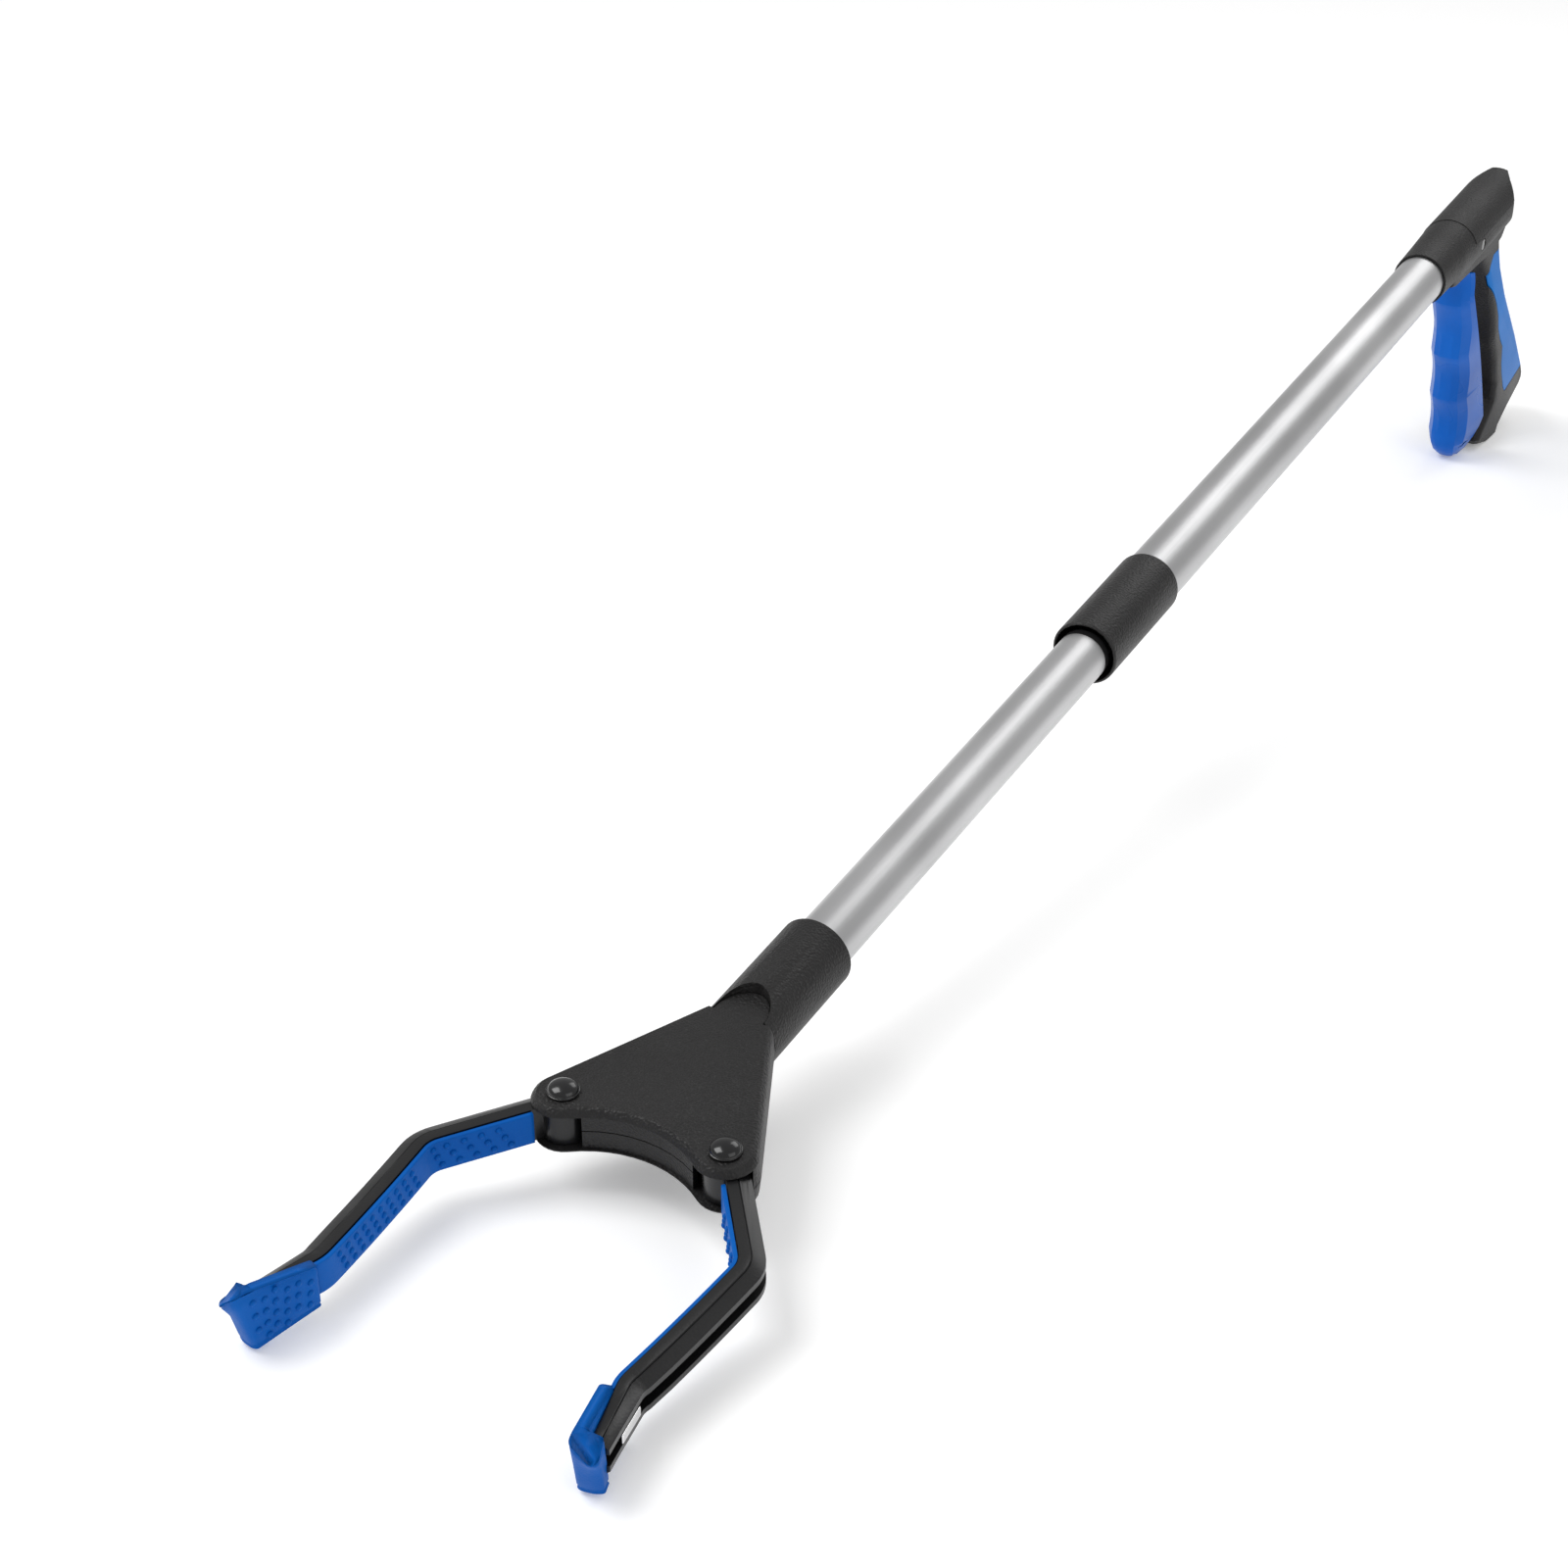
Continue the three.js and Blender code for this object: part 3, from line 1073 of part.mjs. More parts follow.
place('spigot_pin', crossPin(SPIGOT_PIN_X, LOWER_RADIUS), STEEL);
place('lower_tube', lowerTube(), ALUMINIUM);
place('lower_hinge_fitting', lowerFitting(), BLACK_GRAINED);
place('lower_fitting_screw',
  barZ(1.1, -LOWER_RADIUS + 0.1, -4.5, FITTING_SCREW_X, 0, 16), STEEL);
bothSides('hinge_pin', hingePin(1), STEEL);
place('upper_hinge_fitting', upperFitting(), BLACK_GRAINED);
place('upper_fitting_pin', barY(1.3, 5, UPPER_RADIUS - 0.1, UPPER_PIN_X, 0, 16), STEEL);
place('lock_collar', lockCollar(), BLACK_GRAINED);
place('upper_tube', upperTube(), ALUMINIUM);
place('cable_lower', cableLower(), STEEL);
place('cable_bend', cableBend(), STEEL);
place('cable_upper', cableUpper(), STEEL);
place('handle_body', handleBody(), BLACK_GRAINED);
place('barrel_cover', barrelCover(), BLACK_GRAINED);
place('grip_backstrap', backstrap(), BLUE_RUBBER);
place('trigger', trigger(), BLUE_PLASTIC);
place('trigger_pin', triggerPin(), STEEL);
place('handle_tube_pin', handlePin(), STEEL);
bothSides('cover_screw', handleScrew(1), STEEL);

// Tip the tool onto its foot and pads, and put the origin under the middle of its bounding box.
tool.rotation.y = -TILT;
tool.updateMatrixWorld(true);
const bounds = new THREE.Box3().setFromObject(tool, true);
const middle = bounds.getCenter(new THREE.Vector3());
tool.position.set(-middle.x, -middle.y, -bounds.min.z);

const grabber = new THREE.Group();
grabber.add(tool);
grabber.updateMatrixWorld(true);

export default grabber;
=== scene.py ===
"""Looks of a folding reacher grabber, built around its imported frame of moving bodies.

Lengths inside the classes are millimetres in the tool's own frame: x runs along the pole from the
jaw pivots towards the handle, y across the jaws and z square to them. ToolFrame turns them into
the frame's metres, where the tool rests on its handle and its rubber tips.
"""

import json
import logging
import math
from dataclasses import dataclass, field
from enum import Enum

import bmesh
import bpy
import numpy as np
from mathutils import Matrix, Vector

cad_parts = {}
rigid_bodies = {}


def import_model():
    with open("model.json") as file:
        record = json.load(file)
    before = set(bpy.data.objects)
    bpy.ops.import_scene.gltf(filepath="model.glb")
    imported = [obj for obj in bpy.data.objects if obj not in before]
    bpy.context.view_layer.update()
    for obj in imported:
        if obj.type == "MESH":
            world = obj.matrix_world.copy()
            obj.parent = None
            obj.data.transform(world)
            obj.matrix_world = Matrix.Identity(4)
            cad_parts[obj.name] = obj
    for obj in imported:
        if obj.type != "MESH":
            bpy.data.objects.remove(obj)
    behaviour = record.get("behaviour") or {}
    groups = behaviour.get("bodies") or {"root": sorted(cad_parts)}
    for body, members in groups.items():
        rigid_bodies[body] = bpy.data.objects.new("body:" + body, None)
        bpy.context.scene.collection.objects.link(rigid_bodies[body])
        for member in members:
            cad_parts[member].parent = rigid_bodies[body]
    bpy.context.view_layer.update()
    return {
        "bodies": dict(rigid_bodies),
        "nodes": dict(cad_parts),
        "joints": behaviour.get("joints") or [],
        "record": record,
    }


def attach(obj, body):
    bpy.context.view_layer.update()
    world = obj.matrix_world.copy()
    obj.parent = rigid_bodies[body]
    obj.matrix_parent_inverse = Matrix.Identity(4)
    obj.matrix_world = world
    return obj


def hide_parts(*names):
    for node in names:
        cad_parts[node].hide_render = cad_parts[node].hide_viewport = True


LOG = logging.getLogger("reacher")
MM = 0.001
NUB_RINGS = 5
NUB_SIDES = 10
NUB_ROOT = -0.35  # share of a quarter turn by which a nub's foot sinks into the surface


class Side(Enum):
    """The two jaws: the left one lies towards +y."""

    LEFT = 1
    RIGHT = -1

    @property
    def word(self) -> str:
        """Returns the side's name as it stands in node names."""
        return self.name.lower()


@dataclass(frozen=True)
class ToolFrame:
    """Carries the tool's millimetres into the frame's metres."""

    tilt: float = math.radians(7.951186)
    shift: tuple[float, float, float] = (-325.3092, 0.0, 18.9453)

    def place(self, points: np.ndarray) -> np.ndarray:
        """Turns points by the tilt about y, moves them by the shift and scales them to metres.

        Args:
            points: Array of tool points, three columns, millimetres.

        Returns:
            Array of the same shape in metres.
        """
        return (self.turn(points) + np.array(self.shift)) * MM

    def turn(self, vectors: np.ndarray) -> np.ndarray:
        """Turns directions only: x' = x cos t - z sin t and z' = x sin t + z cos t.

        Args:
            vectors: Array whose last axis holds x, y, z.

        Returns:
            The turned directions.
        """
        c, s = math.cos(self.tilt), math.sin(self.tilt)
        matrix = np.array([[c, 0.0, -s], [0.0, 1.0, 0.0], [s, 0.0, c]])
        return np.asarray(vectors, dtype=float) @ matrix.T


TOOL = ToolFrame()


# ---------------------------------------------------------------- meshes


def ring_faces(rings: int, around: int, caps: bool = True) -> list[list[int]]:
    """Quads between closed rings of points, ring by ring, with a face over each end.

    Args:
        rings: Number of rings.
        around: Points in each ring.
        caps: Whether the first and the last ring are closed.

    Returns:
        Lists of point numbers.
    """
    i, j = np.meshgrid(np.arange(rings - 1), np.arange(around), indexing="ij")
    k = (j + 1) % around
    quads = np.stack([i * around + j, i * around + k, (i + 1) * around + k, (i + 1) * around + j], -1)
    faces = quads.reshape(-1, 4).tolist()
    if caps:
        faces.append(list(range(around))[::-1])
        faces.append(list(range((rings - 1) * around, rings * around)))
    return faces


def make_piece(name: str, parts: list[tuple[np.ndarray, list[list[int]]]]) -> bpy.types.Object:
    """Makes one object at the origin from several shells, with its faces turned outwards.

    Args:
        name: Name of the object.
        parts: Points in metres and faces of each shell.

    Returns:
        The new object, smooth shaded.
    """
    points, faces, start = [], [], 0
    for shell, shell_faces in parts:
        points.append(shell.reshape(-1, 3))
        faces += [[start + n for n in face] for face in shell_faces]
        start += len(points[-1])
    mesh = bpy.data.meshes.new(name)
    mesh.from_pydata(np.concatenate(points).tolist(), [], faces)
    work = bmesh.new()
    work.from_mesh(mesh)
    bmesh.ops.remove_doubles(work, verts=work.verts, dist=1e-6)
    bmesh.ops.recalc_face_normals(work, faces=work.faces)
    work.to_mesh(mesh)
    work.free()
    mesh.shade_smooth()
    piece = bpy.data.objects.new(name, mesh)
    bpy.context.scene.collection.objects.link(piece)
    return piece


def rounded_outline(corners: list[tuple[float, float, float]], steps: int = 7) -> np.ndarray:
    """A closed outline whose corners are arcs: each corner is cut back by its radius over the
    tangent of half its angle, and the arc is a quadratic blend between the two cuts.

    Args:
        corners: x, y and radius of each corner in order.
        steps: Points on each arc.

    Returns:
        Array of outline points.
    """
    places = np.array([c[:2] for c in corners])
    reach = np.array([c[2] for c in corners])[:, None]
    before, after = np.roll(places, 1, 0) - places, np.roll(places, -1, 0) - places
    before /= np.linalg.norm(before, axis=1, keepdims=True)
    after /= np.linalg.norm(after, axis=1, keepdims=True)
    t = np.linspace(0, 1, steps)[None, :, None]
    first, last = (places + before * reach)[:, None], (places + after * reach)[:, None]
    middle = places[:, None]
    return ((1 - t) ** 2 * first + 2 * t * (1 - t) * middle + t**2 * last).reshape(-1, 2)


def evenly_spaced(outline: np.ndarray, count: int) -> np.ndarray:
    """Places points at even steps of the length along a closed outline.

    Args:
        outline: Closed outline.
        count: Number of points wanted.

    Returns:
        The outline with that many points.
    """
    closed = np.concatenate([outline, outline[:1]])
    run = np.concatenate([[0.0], np.cumsum(np.linalg.norm(np.diff(closed, axis=0), axis=1))])
    steps = np.linspace(0.0, run[-1], count, endpoint=False)
    return np.stack([np.interp(steps, run, closed[:, 0]), np.interp(steps, run, closed[:, 1])], 1)


def drawn_in(outline: np.ndarray, depth: float) -> np.ndarray:
    """Moves each point of an outline inwards along the mean normal of its two edges.

    Args:
        outline: Closed outline, anticlockwise.
        depth: How far the outline is drawn in.

    Returns:
        The smaller outline.
    """
    along = np.roll(outline, -1, 0) - np.roll(outline, 1, 0)
    along /= np.maximum(np.linalg.norm(along, axis=1, keepdims=True), 1e-9)
    return outline + np.stack([-along[:, 1], along[:, 0]], 1) * depth


def nub_shells(
    spots: np.ndarray, normals: np.ndarray, radius: float, height: float
) -> list[tuple[np.ndarray, list[list[int]]]]:
    """Low round nubs: each is a quarter ellipse of the given height turned about its normal, with
    its foot carried on a little below the surface.

    Args:
        spots: Places of the nubs on the surface, millimetres.
        normals: Direction in which each stands.
        radius: Radius at the foot.
        height: Height over the surface.

    Returns:
        One closed shell for each nub, in metres.
    """
    rise = np.linspace(NUB_ROOT, 1.0, NUB_RINGS) * math.pi / 2
    turn = np.linspace(0, 2 * math.pi, NUB_SIDES, endpoint=False)
    shells = []
    for spot, normal in zip(spots, normals):
        normal = normal / np.linalg.norm(normal)
        side = np.cross(normal, [0.0, 0.0, 1.0])
        side /= np.linalg.norm(side)
        up = np.cross(side, normal)
        flat = np.cos(rise)[:, None, None] * radius
        ring = flat * (np.cos(turn)[None, :, None] * side + np.sin(turn)[None, :, None] * up)
        points = spot + ring + np.sin(rise)[:, None, None] * height * normal
        shells.append((TOOL.place(points), ring_faces(NUB_RINGS, NUB_SIDES)))
    return shells


# ---------------------------------------------------------------- finishes


def new_group(name: str, inputs: dict[str, float | None], outputs: list[str]) -> bpy.types.NodeTree:
    """Starts a shader node group with named sockets.

    Args:
        name: Name of the group.
        inputs: Float inputs with their values; None makes a vector input.
        outputs: Names of the float outputs.

    Returns:
        The group with its input and output nodes.
    """
    tree = bpy.data.node_groups.new(name, "ShaderNodeTree")
    for label, value in inputs.items():
        kind = "NodeSocketVector" if value is None else "NodeSocketFloat"
        socket = tree.interface.new_socket(name=label, in_out="INPUT", socket_type=kind)
        if value is not None:
            socket.default_value = value
    for label in outputs:
        tree.interface.new_socket(name=label, in_out="OUTPUT", socket_type="NodeSocketFloat")
    tree.nodes.new("NodeGroupInput").name = "in"
    tree.nodes.new("NodeGroupOutput").name = "out"
    return tree


def grain_group() -> bpy.types.NodeTree:
    """Moulded grain: fine noise for the pitted skin and slow noise for uneven tone.

    Returns:
        A group with Vector, Fineness and Drift in, and Height, Tone and Smudge out.
    """
    tree = new_group(
        "moulded_grain",
        {"Vector": None, "Fineness": 1400.0, "Drift": 28.0},
        ["Height", "Tone", "Smudge"],
    )
    nodes, links = tree.nodes, tree.links
    fine = nodes.new("ShaderNodeTexNoise")
    fine.inputs["Detail"].default_value = 3.0
    pits = nodes.new("ShaderNodeTexVoronoi")
    slow = nodes.new("ShaderNodeTexNoise")
    slow.inputs["Detail"].default_value = 5.0
    smudge = nodes.new("ShaderNodeTexNoise")
    smudge.inputs["Detail"].default_value = 2.0
    smudge.inputs["Distortion"].default_value = 1.2
    links.new(nodes["in"].outputs["Fineness"], fine.inputs["Scale"])
    links.new(nodes["in"].outputs["Fineness"], pits.inputs["Scale"])
    links.new(nodes["in"].outputs["Drift"], slow.inputs["Scale"])
    half = nodes.new("ShaderNodeMath")
    half.operation = "MULTIPLY"
    half.inputs[1].default_value = 0.45
    links.new(nodes["in"].outputs["Drift"], half.inputs[0])
    links.new(half.outputs[0], smudge.inputs["Scale"])
    for texture in (fine, pits, slow, smudge):
        links.new(nodes["in"].outputs["Vector"], texture.inputs["Vector"])
    height = nodes.new("ShaderNodeMath")
    height.operation = "ADD"
    links.new(fine.outputs["Fac"], height.inputs[0])
    links.new(pits.outputs["Distance"], height.inputs[1])
    links.new(height.outputs[0], nodes["out"].inputs["Height"])
    links.new(slow.outputs["Fac"], nodes["out"].inputs["Tone"])
    spread = nodes.new("ShaderNodeMapRange")
    spread.inputs["From Min"].default_value = 0.35
    spread.inputs["From Max"].default_value = 0.7
    links.new(smudge.outputs["Fac"], spread.inputs["Value"])
    links.new(spread.outputs["Result"], nodes["out"].inputs["Smudge"])
    return tree


def drawn_group() -> bpy.types.NodeTree:
    """Draw lines of a tube: noise stretched a hundredfold along the pole, with a faint speckle.

    Returns:
        A group with Vector in, and Height and Tone out.
    """
    tree = new_group("draw_lines", {"Vector": None, "Closeness": 900.0}, ["Height", "Tone"])
    nodes, links = tree.nodes, tree.links
    level = nodes.new("ShaderNodeMapping")
    level.inputs["Rotation"].default_value = (0.0, TOOL.tilt, 0.0)
    squeeze = nodes.new("ShaderNodeMapping")
    squeeze.inputs["Scale"].default_value = (0.01, 1.0, 1.0)
    lines = nodes.new("ShaderNodeTexNoise")
    lines.inputs["Detail"].default_value = 4.0
    blotch = nodes.new("ShaderNodeTexNoise")
    blotch.inputs["Scale"].default_value = 18.0
    links.new(nodes["in"].outputs["Vector"], level.inputs["Vector"])
    links.new(level.outputs["Vector"], squeeze.inputs["Vector"])
    links.new(squeeze.outputs["Vector"], lines.inputs["Vector"])
    links.new(nodes["in"].outputs["Closeness"], lines.inputs["Scale"])
    links.new(nodes["in"].outputs["Vector"], blotch.inputs["Vector"])
    links.new(lines.outputs["Fac"], nodes["out"].inputs["Height"])
    links.new(blotch.outputs["Fac"], nodes["out"].inputs["Tone"])
    return tree


@dataclass(frozen=True)
class Finish:
    """A surface: two tones, a range of roughness and a relief, all set by the same patterns."""

    name: str
    dark: tuple[float, float, float]
    light: tuple[float, float, float]
    roughness: tuple[float, float]
    fineness: float = 1400.0
    drift: float = 28.0
    relief: float = 0.2
    depth: float = 0.00012
    metallic: float = 0.0
    coat: float = 0.0
    coat_roughness: float = 0.15
    specular: float = 0.5
    drawn: bool = False

    def material(self) -> bpy.types.Material:
        """Builds the material: tone picks the colour, smudges the roughness, height the bump.

        Returns:
            The new material.
        """
        material = bpy.data.materials.new(self.name)
        material.use_nodes = True
        nodes, links = material.node_tree.nodes, material.node_tree.links
        shader = nodes["Principled BSDF"]
        where = nodes.new("ShaderNodeTexCoord")
        pattern = nodes.new("ShaderNodeGroup")
        if self.drawn:
            pattern.node_tree = bpy.data.node_groups["draw_lines"]
            pattern.inputs["Closeness"].default_value = self.fineness
        else:
            pattern.node_tree = bpy.data.node_groups["moulded_grain"]
            pattern.inputs["Fineness"].default_value = self.fineness
            pattern.inputs["Drift"].default_value = self.drift
        links.new(where.outputs["Object"], pattern.inputs["Vector"])
        colour = nodes.new("ShaderNodeValToRGB")
        colour.color_ramp.elements[0].position = 0.3
        colour.color_ramp.elements[0].color = (*self.dark, 1.0)
        colour.color_ramp.elements[1].position = 0.7
        colour.color_ramp.elements[1].color = (*self.light, 1.0)
        links.new(pattern.outputs["Tone"], colour.inputs["Fac"])
        links.new(colour.outputs["Color"], shader.inputs["Base Color"])
        spread = nodes.new("ShaderNodeMapRange")
        spread.inputs["To Min"].default_value = self.roughness[0]
        spread.inputs["To Max"].default_value = self.roughness[1]
        links.new(pattern.outputs["Height" if self.drawn else "Smudge"], spread.inputs["Value"])
        links.new(spread.outputs["Result"], shader.inputs["Roughness"])
        bump = nodes.new("ShaderNodeBump")
        bump.inputs["Strength"].default_value = self.relief
        bump.inputs["Distance"].default_value = self.depth
        links.new(pattern.outputs["Height"], bump.inputs["Height"])
        links.new(bump.outputs["Normal"], shader.inputs["Normal"])
        shader.inputs["Metallic"].default_value = self.metallic
        shader.inputs["Coat Weight"].default_value = self.coat
        shader.inputs["Coat Roughness"].default_value = self.coat_roughness
        shader.inputs["Specular IOR Level"].default_value = self.specular
        return material


BLACK_GRAINED = Finish(
    "black_grained", (0.0075, 0.0072, 0.0074), (0.0135, 0.0128, 0.0128), (0.4, 0.54),
    fineness=1300.0, relief=0.6, depth=0.0003, specular=0.32,
)
BLACK_MOULDED = Finish(
    "black_moulded", (0.007, 0.007, 0.0075), (0.012, 0.0115, 0.012), (0.32, 0.44), relief=0.25,
    specular=0.35,
)
BLACK_GLOSS = Finish(
    "black_gloss", (0.005, 0.005, 0.0055), (0.0085, 0.0085, 0.009), (0.26, 0.38),
    relief=0.12, coat=0.12, coat_roughness=0.2, specular=0.35,
)
BLACK_DOME = Finish(
    "black_dome", (0.004, 0.004, 0.0045), (0.007, 0.007, 0.0075), (0.16, 0.24), relief=0.03,
    coat=0.3, specular=0.4,
)
SATIN_ALUMINIUM = Finish(
    "satin_aluminium", (0.50, 0.50, 0.505), (0.62, 0.62, 0.625), (0.36, 0.48),
    fineness=1500.0, relief=0.06, depth=0.00006, metallic=1.0, drawn=True,
)
BLUE_RUBBER = Finish(
    "blue_rubber", (0.0, 0.082, 0.37), (0.0005, 0.118, 0.48), (0.45, 0.58), relief=0.25, specular=0.1
)
BLUE_STRAP = Finish(
    "blue_strap", (0.0, 0.145, 0.50), (0.002, 0.18, 0.60), (0.4, 0.52), relief=0.2, specular=0.12
)
BLUE_MOULDED = Finish(
    "blue_moulded", (0.0, 0.083, 0.40), (0.0005, 0.115, 0.52), (0.24, 0.34),
    relief=0.1, coat=0.04, coat_roughness=0.25, specular=0.12,
)
BRIGHT_MAGNET = Finish(
    "bright_magnet", (0.80, 0.80, 0.81), (0.93, 0.93, 0.93), (0.12, 0.22), relief=0.05, metallic=1.0
)
PLAIN_STEEL = Finish(
    "plain_steel", (0.42, 0.43, 0.44), (0.55, 0.56, 0.57), (0.25, 0.4), relief=0.1, metallic=1.0
)


@dataclass
class Workshop:
    """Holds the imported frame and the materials, and dresses pieces with them."""

    frame: dict
    made: dict[str, bpy.types.Material] = field(default_factory=dict)

    def finish(self, wanted: Finish) -> bpy.types.Material:
        """Returns the material of a finish, built the first time that it is asked for."""
        if wanted.name not in self.made:
            self.made[wanted.name] = wanted.material()
        return self.made[wanted.name]

    def dress(self, piece: bpy.types.Object, wanted: Finish) -> None:
        """Puts one finish on a piece in the place of any that it has."""
        if not piece.material_slots:
            piece.data.materials.append(self.finish(wanted))
            return
        for slot in piece.material_slots:
            slot.material = self.finish(wanted)

    def join_in(self, piece: bpy.types.Object, node: str, body: str, wanted: Finish) -> None:
        """Lets a piece ride on a body and stand for a node.

        Args:
            piece: The new piece.
            node: The node that it stands for.
            body: The body that carries it.
            wanted: Its finish.
        """
        self.dress(piece, wanted)
        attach(piece, body)
        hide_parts(node)
        LOG.info("%s stands for %s on %s", piece.name, node, body)

    def softened(
        self, node: str, body: str, wanted: Finish, edge: float = 0.35, crease: float = 32.0
    ) -> bpy.types.Object:
        """A copy of a node with merged points, smooth curved faces and its sharp edges rounded.

        Args:
            node: Node to copy.
            body: Body that carries it.
            wanted: Its finish.
            edge: Width of the rounding, millimetres.
            crease: Angle in degrees over which an edge stays an edge.

        Returns:
            The copy, which replaces the node.
        """
        mesh = self.frame["nodes"][node].data.copy()
        mesh.materials.clear()
        work = bmesh.new()
        work.from_mesh(mesh)
        bmesh.ops.remove_doubles(work, verts=work.verts, dist=2e-6)
        bmesh.ops.dissolve_limit(
            work, angle_limit=math.radians(0.4), verts=work.verts, edges=work.edges
        )
        work.to_mesh(mesh)
        work.free()
        if mesh.has_custom_normals:
            mesh.normals_split_custom_set([(0.0, 0.0, 0.0)] * len(mesh.loops))
        mesh.shade_smooth()
        mesh.set_sharp_from_angle(angle=math.radians(crease))
        piece = bpy.data.objects.new(f"{node}.finished", mesh)
        bpy.context.scene.collection.objects.link(piece)
        if edge > 0:
            bevel = piece.modifiers.new("rounded edges", "BEVEL")
            bevel.width = edge * MM
            bevel.segments = 2
            bevel.limit_method = "ANGLE"
            bevel.angle_limit = math.radians(crease)
            bevel.use_clamp_overlap = True
            bevel.harden_normals = True
        self.join_in(piece, node, body, wanted)
        return piece


# ---------------------------------------------------------------- jaws


@dataclass(frozen=True)
class JawPath:
    """The line of a jaw's inner face: outwards, over the elbow, back in, and out to the tip."""

    elbow: tuple[float, float] = (-29.1, 43.8)
    wrist_x: float = -76.0
    spread: float = math.radians(36.5)
    close_in: float = math.radians(4.4)
    flare: float = math.radians(15.0)
    elbow_radius: float = 7.0
    wrist_radius: float = 14.0
    tip_reach: float = 21.7
    lift: float = 0.00095
    arc_steps: int = 12

    @property
    def wrist(self) -> tuple[float, float]:
        """Returns the corner where the tip begins."""
        run = self.elbow[0] - self.wrist_x
        return self.wrist_x, self.elbow[1] - run * math.tan(self.close_in)

    def points(self) -> tuple[np.ndarray, np.ndarray, np.ndarray]:
        """Joins straight stretches with arcs: on an arc the heading turns evenly from one stretch's
        to the next and each step moves one chord along the mean heading.

        Returns:
            x, y and heading of places along the whole path.
        """
        start = (0.0, self.elbow[1] + self.elbow[0] * math.tan(self.spread), self.spread)
        stretches = [
            (self.elbow, self.spread, -self.close_in, self.elbow_radius),
            (self.wrist, -self.close_in, self.flare, self.wrist_radius),
        ]
        arcs = [np.array([start])]
        for (cx, cy), first, last, radius in stretches:
            turn = last - first
            back = radius * math.tan(abs(turn) / 2)
            heading = np.linspace(first, last, self.arc_steps + 1)
            middle = (heading[1:] + heading[:-1]) / 2
            chord = 2 * radius * math.sin(abs(turn) / (2 * self.arc_steps))
            ahead = np.concatenate([[0], np.cumsum(np.cos(middle) * chord)])
            aside = np.concatenate([[0], np.cumsum(np.sin(middle) * chord)])
            x = cx + back * math.cos(first) - ahead
            y = cy - back * math.sin(first) + aside
            arcs.append(np.stack([x, y, heading], 1))
        wx, wy = self.wrist
        reach = self.tip_reach
        arcs.append(np.array([
            (wx - reach * math.cos(self.flare), wy + reach * math.sin(self.flare), self.flare)
        ]))
        table = np.concatenate(arcs)
        return table[:, 0], table[:, 1], table[:, 2]

    def at(self, x: np.ndarray, out: np.ndarray, up: np.ndarray, side: Side) -> np.ndarray:
        """Places beside the path: out along the outward normal and up from the jaw's middle.

        Args:
            x: Where along the path, by its x.
            out: Distance outwards.
            up: Height over the middle, which itself rises with the square of x past the elbow.
            side: Which jaw.

        Returns:
            Tool points with a last axis of three.
        """
        px, py, heading = self.points()
        y = np.interp(-x, -px, py)
        turn = np.interp(-x, -px, heading)
        rise = self.lift * np.minimum(x - self.elbow[0], 0.0) ** 2
        across = (y + np.cos(turn) * out) * side.value
        return np.stack([x + np.sin(turn) * out, across, up + rise], -1)

    def inward(self, x: np.ndarray, side: Side) -> np.ndarray:
        """Returns the direction from the inner face towards the other jaw, at each x."""
        px, _, heading = self.points()
        turn = np.interp(-x, -px, heading)
        return np.stack([-np.sin(turn), -np.cos(turn) * side.value, np.zeros_like(x)], -1)


@dataclass
class JawLiner:
    """Rubber strip on the inner face of a jaw, with two patches of nubs."""

    side: Side
    path: JawPath = field(default_factory=JawPath)
    start: float = -7.5
    end: float = -79.5
    inner: float = -1.4
    outer: float = -0.3
    half_height: float = 4.7
    rounding: float = 0.5
    sharp: float = 0.1
    places: int = 90
    patches: tuple[tuple[float, int], ...] = ((-12.5, 5), (-37.0, 10))
    nub_step: float = 3.6
    nub_rows: tuple[float, ...] = (-2.7, 0.0, 2.7)
    nub_radius: float = 0.9
    nub_height: float = 0.75

    def strip(self) -> tuple[np.ndarray, list[list[int]]]:
        """A rounded section carried along the jaw's path on a grid of place by section point.

        Returns:
            Points in metres and faces.
        """
        low, high = self.inner, self.outer
        half, soft, sharp = self.half_height, self.rounding, self.sharp
        section = rounded_outline([
            (low, -half, soft), (high, -half, sharp), (high, half, sharp), (low, half, soft)
        ])
        x = np.linspace(self.start, self.end, self.places)
        grid_x, out = np.meshgrid(x, section[:, 0], indexing="ij")
        up = np.broadcast_to(section[:, 1], grid_x.shape)
        return TOOL.place(self.path.at(grid_x, out, up, self.side)), ring_faces(len(x), len(section))

    def nubs(self) -> list[tuple[np.ndarray, list[list[int]]]]:
        """Rows that slant across the strip: each row starts a third of a step after the last.

        Returns:
            Shells of the nubs.
        """
        rows = np.array(self.nub_rows)
        spots = []
        for first, count in self.patches:
            along, row = np.meshgrid(np.arange(count), np.arange(len(rows)), indexing="ij")
            x = first - along * self.nub_step - row * self.nub_step / len(rows)
            spots.append(np.stack([x, rows[row]], -1).reshape(-1, 2))
        table = np.concatenate(spots)
        faces_in = self.path.inward(table[:, 0], self.side)
        places = self.path.at(table[:, 0], np.full(len(table), self.inner), table[:, 1], self.side)
        return nub_shells(places, faces_in, self.nub_radius, self.nub_height)

    def build(self, shop: Workshop) -> None:
        """Builds the liner and lets it stand for its node."""
        piece = make_piece(f"liner_{self.side.word}", [self.strip(), *self.nubs()])
        word = self.side.word
        shop.join_in(piece, f"jaw_liner_{word}", f"jaw_{word}", BLUE_RUBBER)


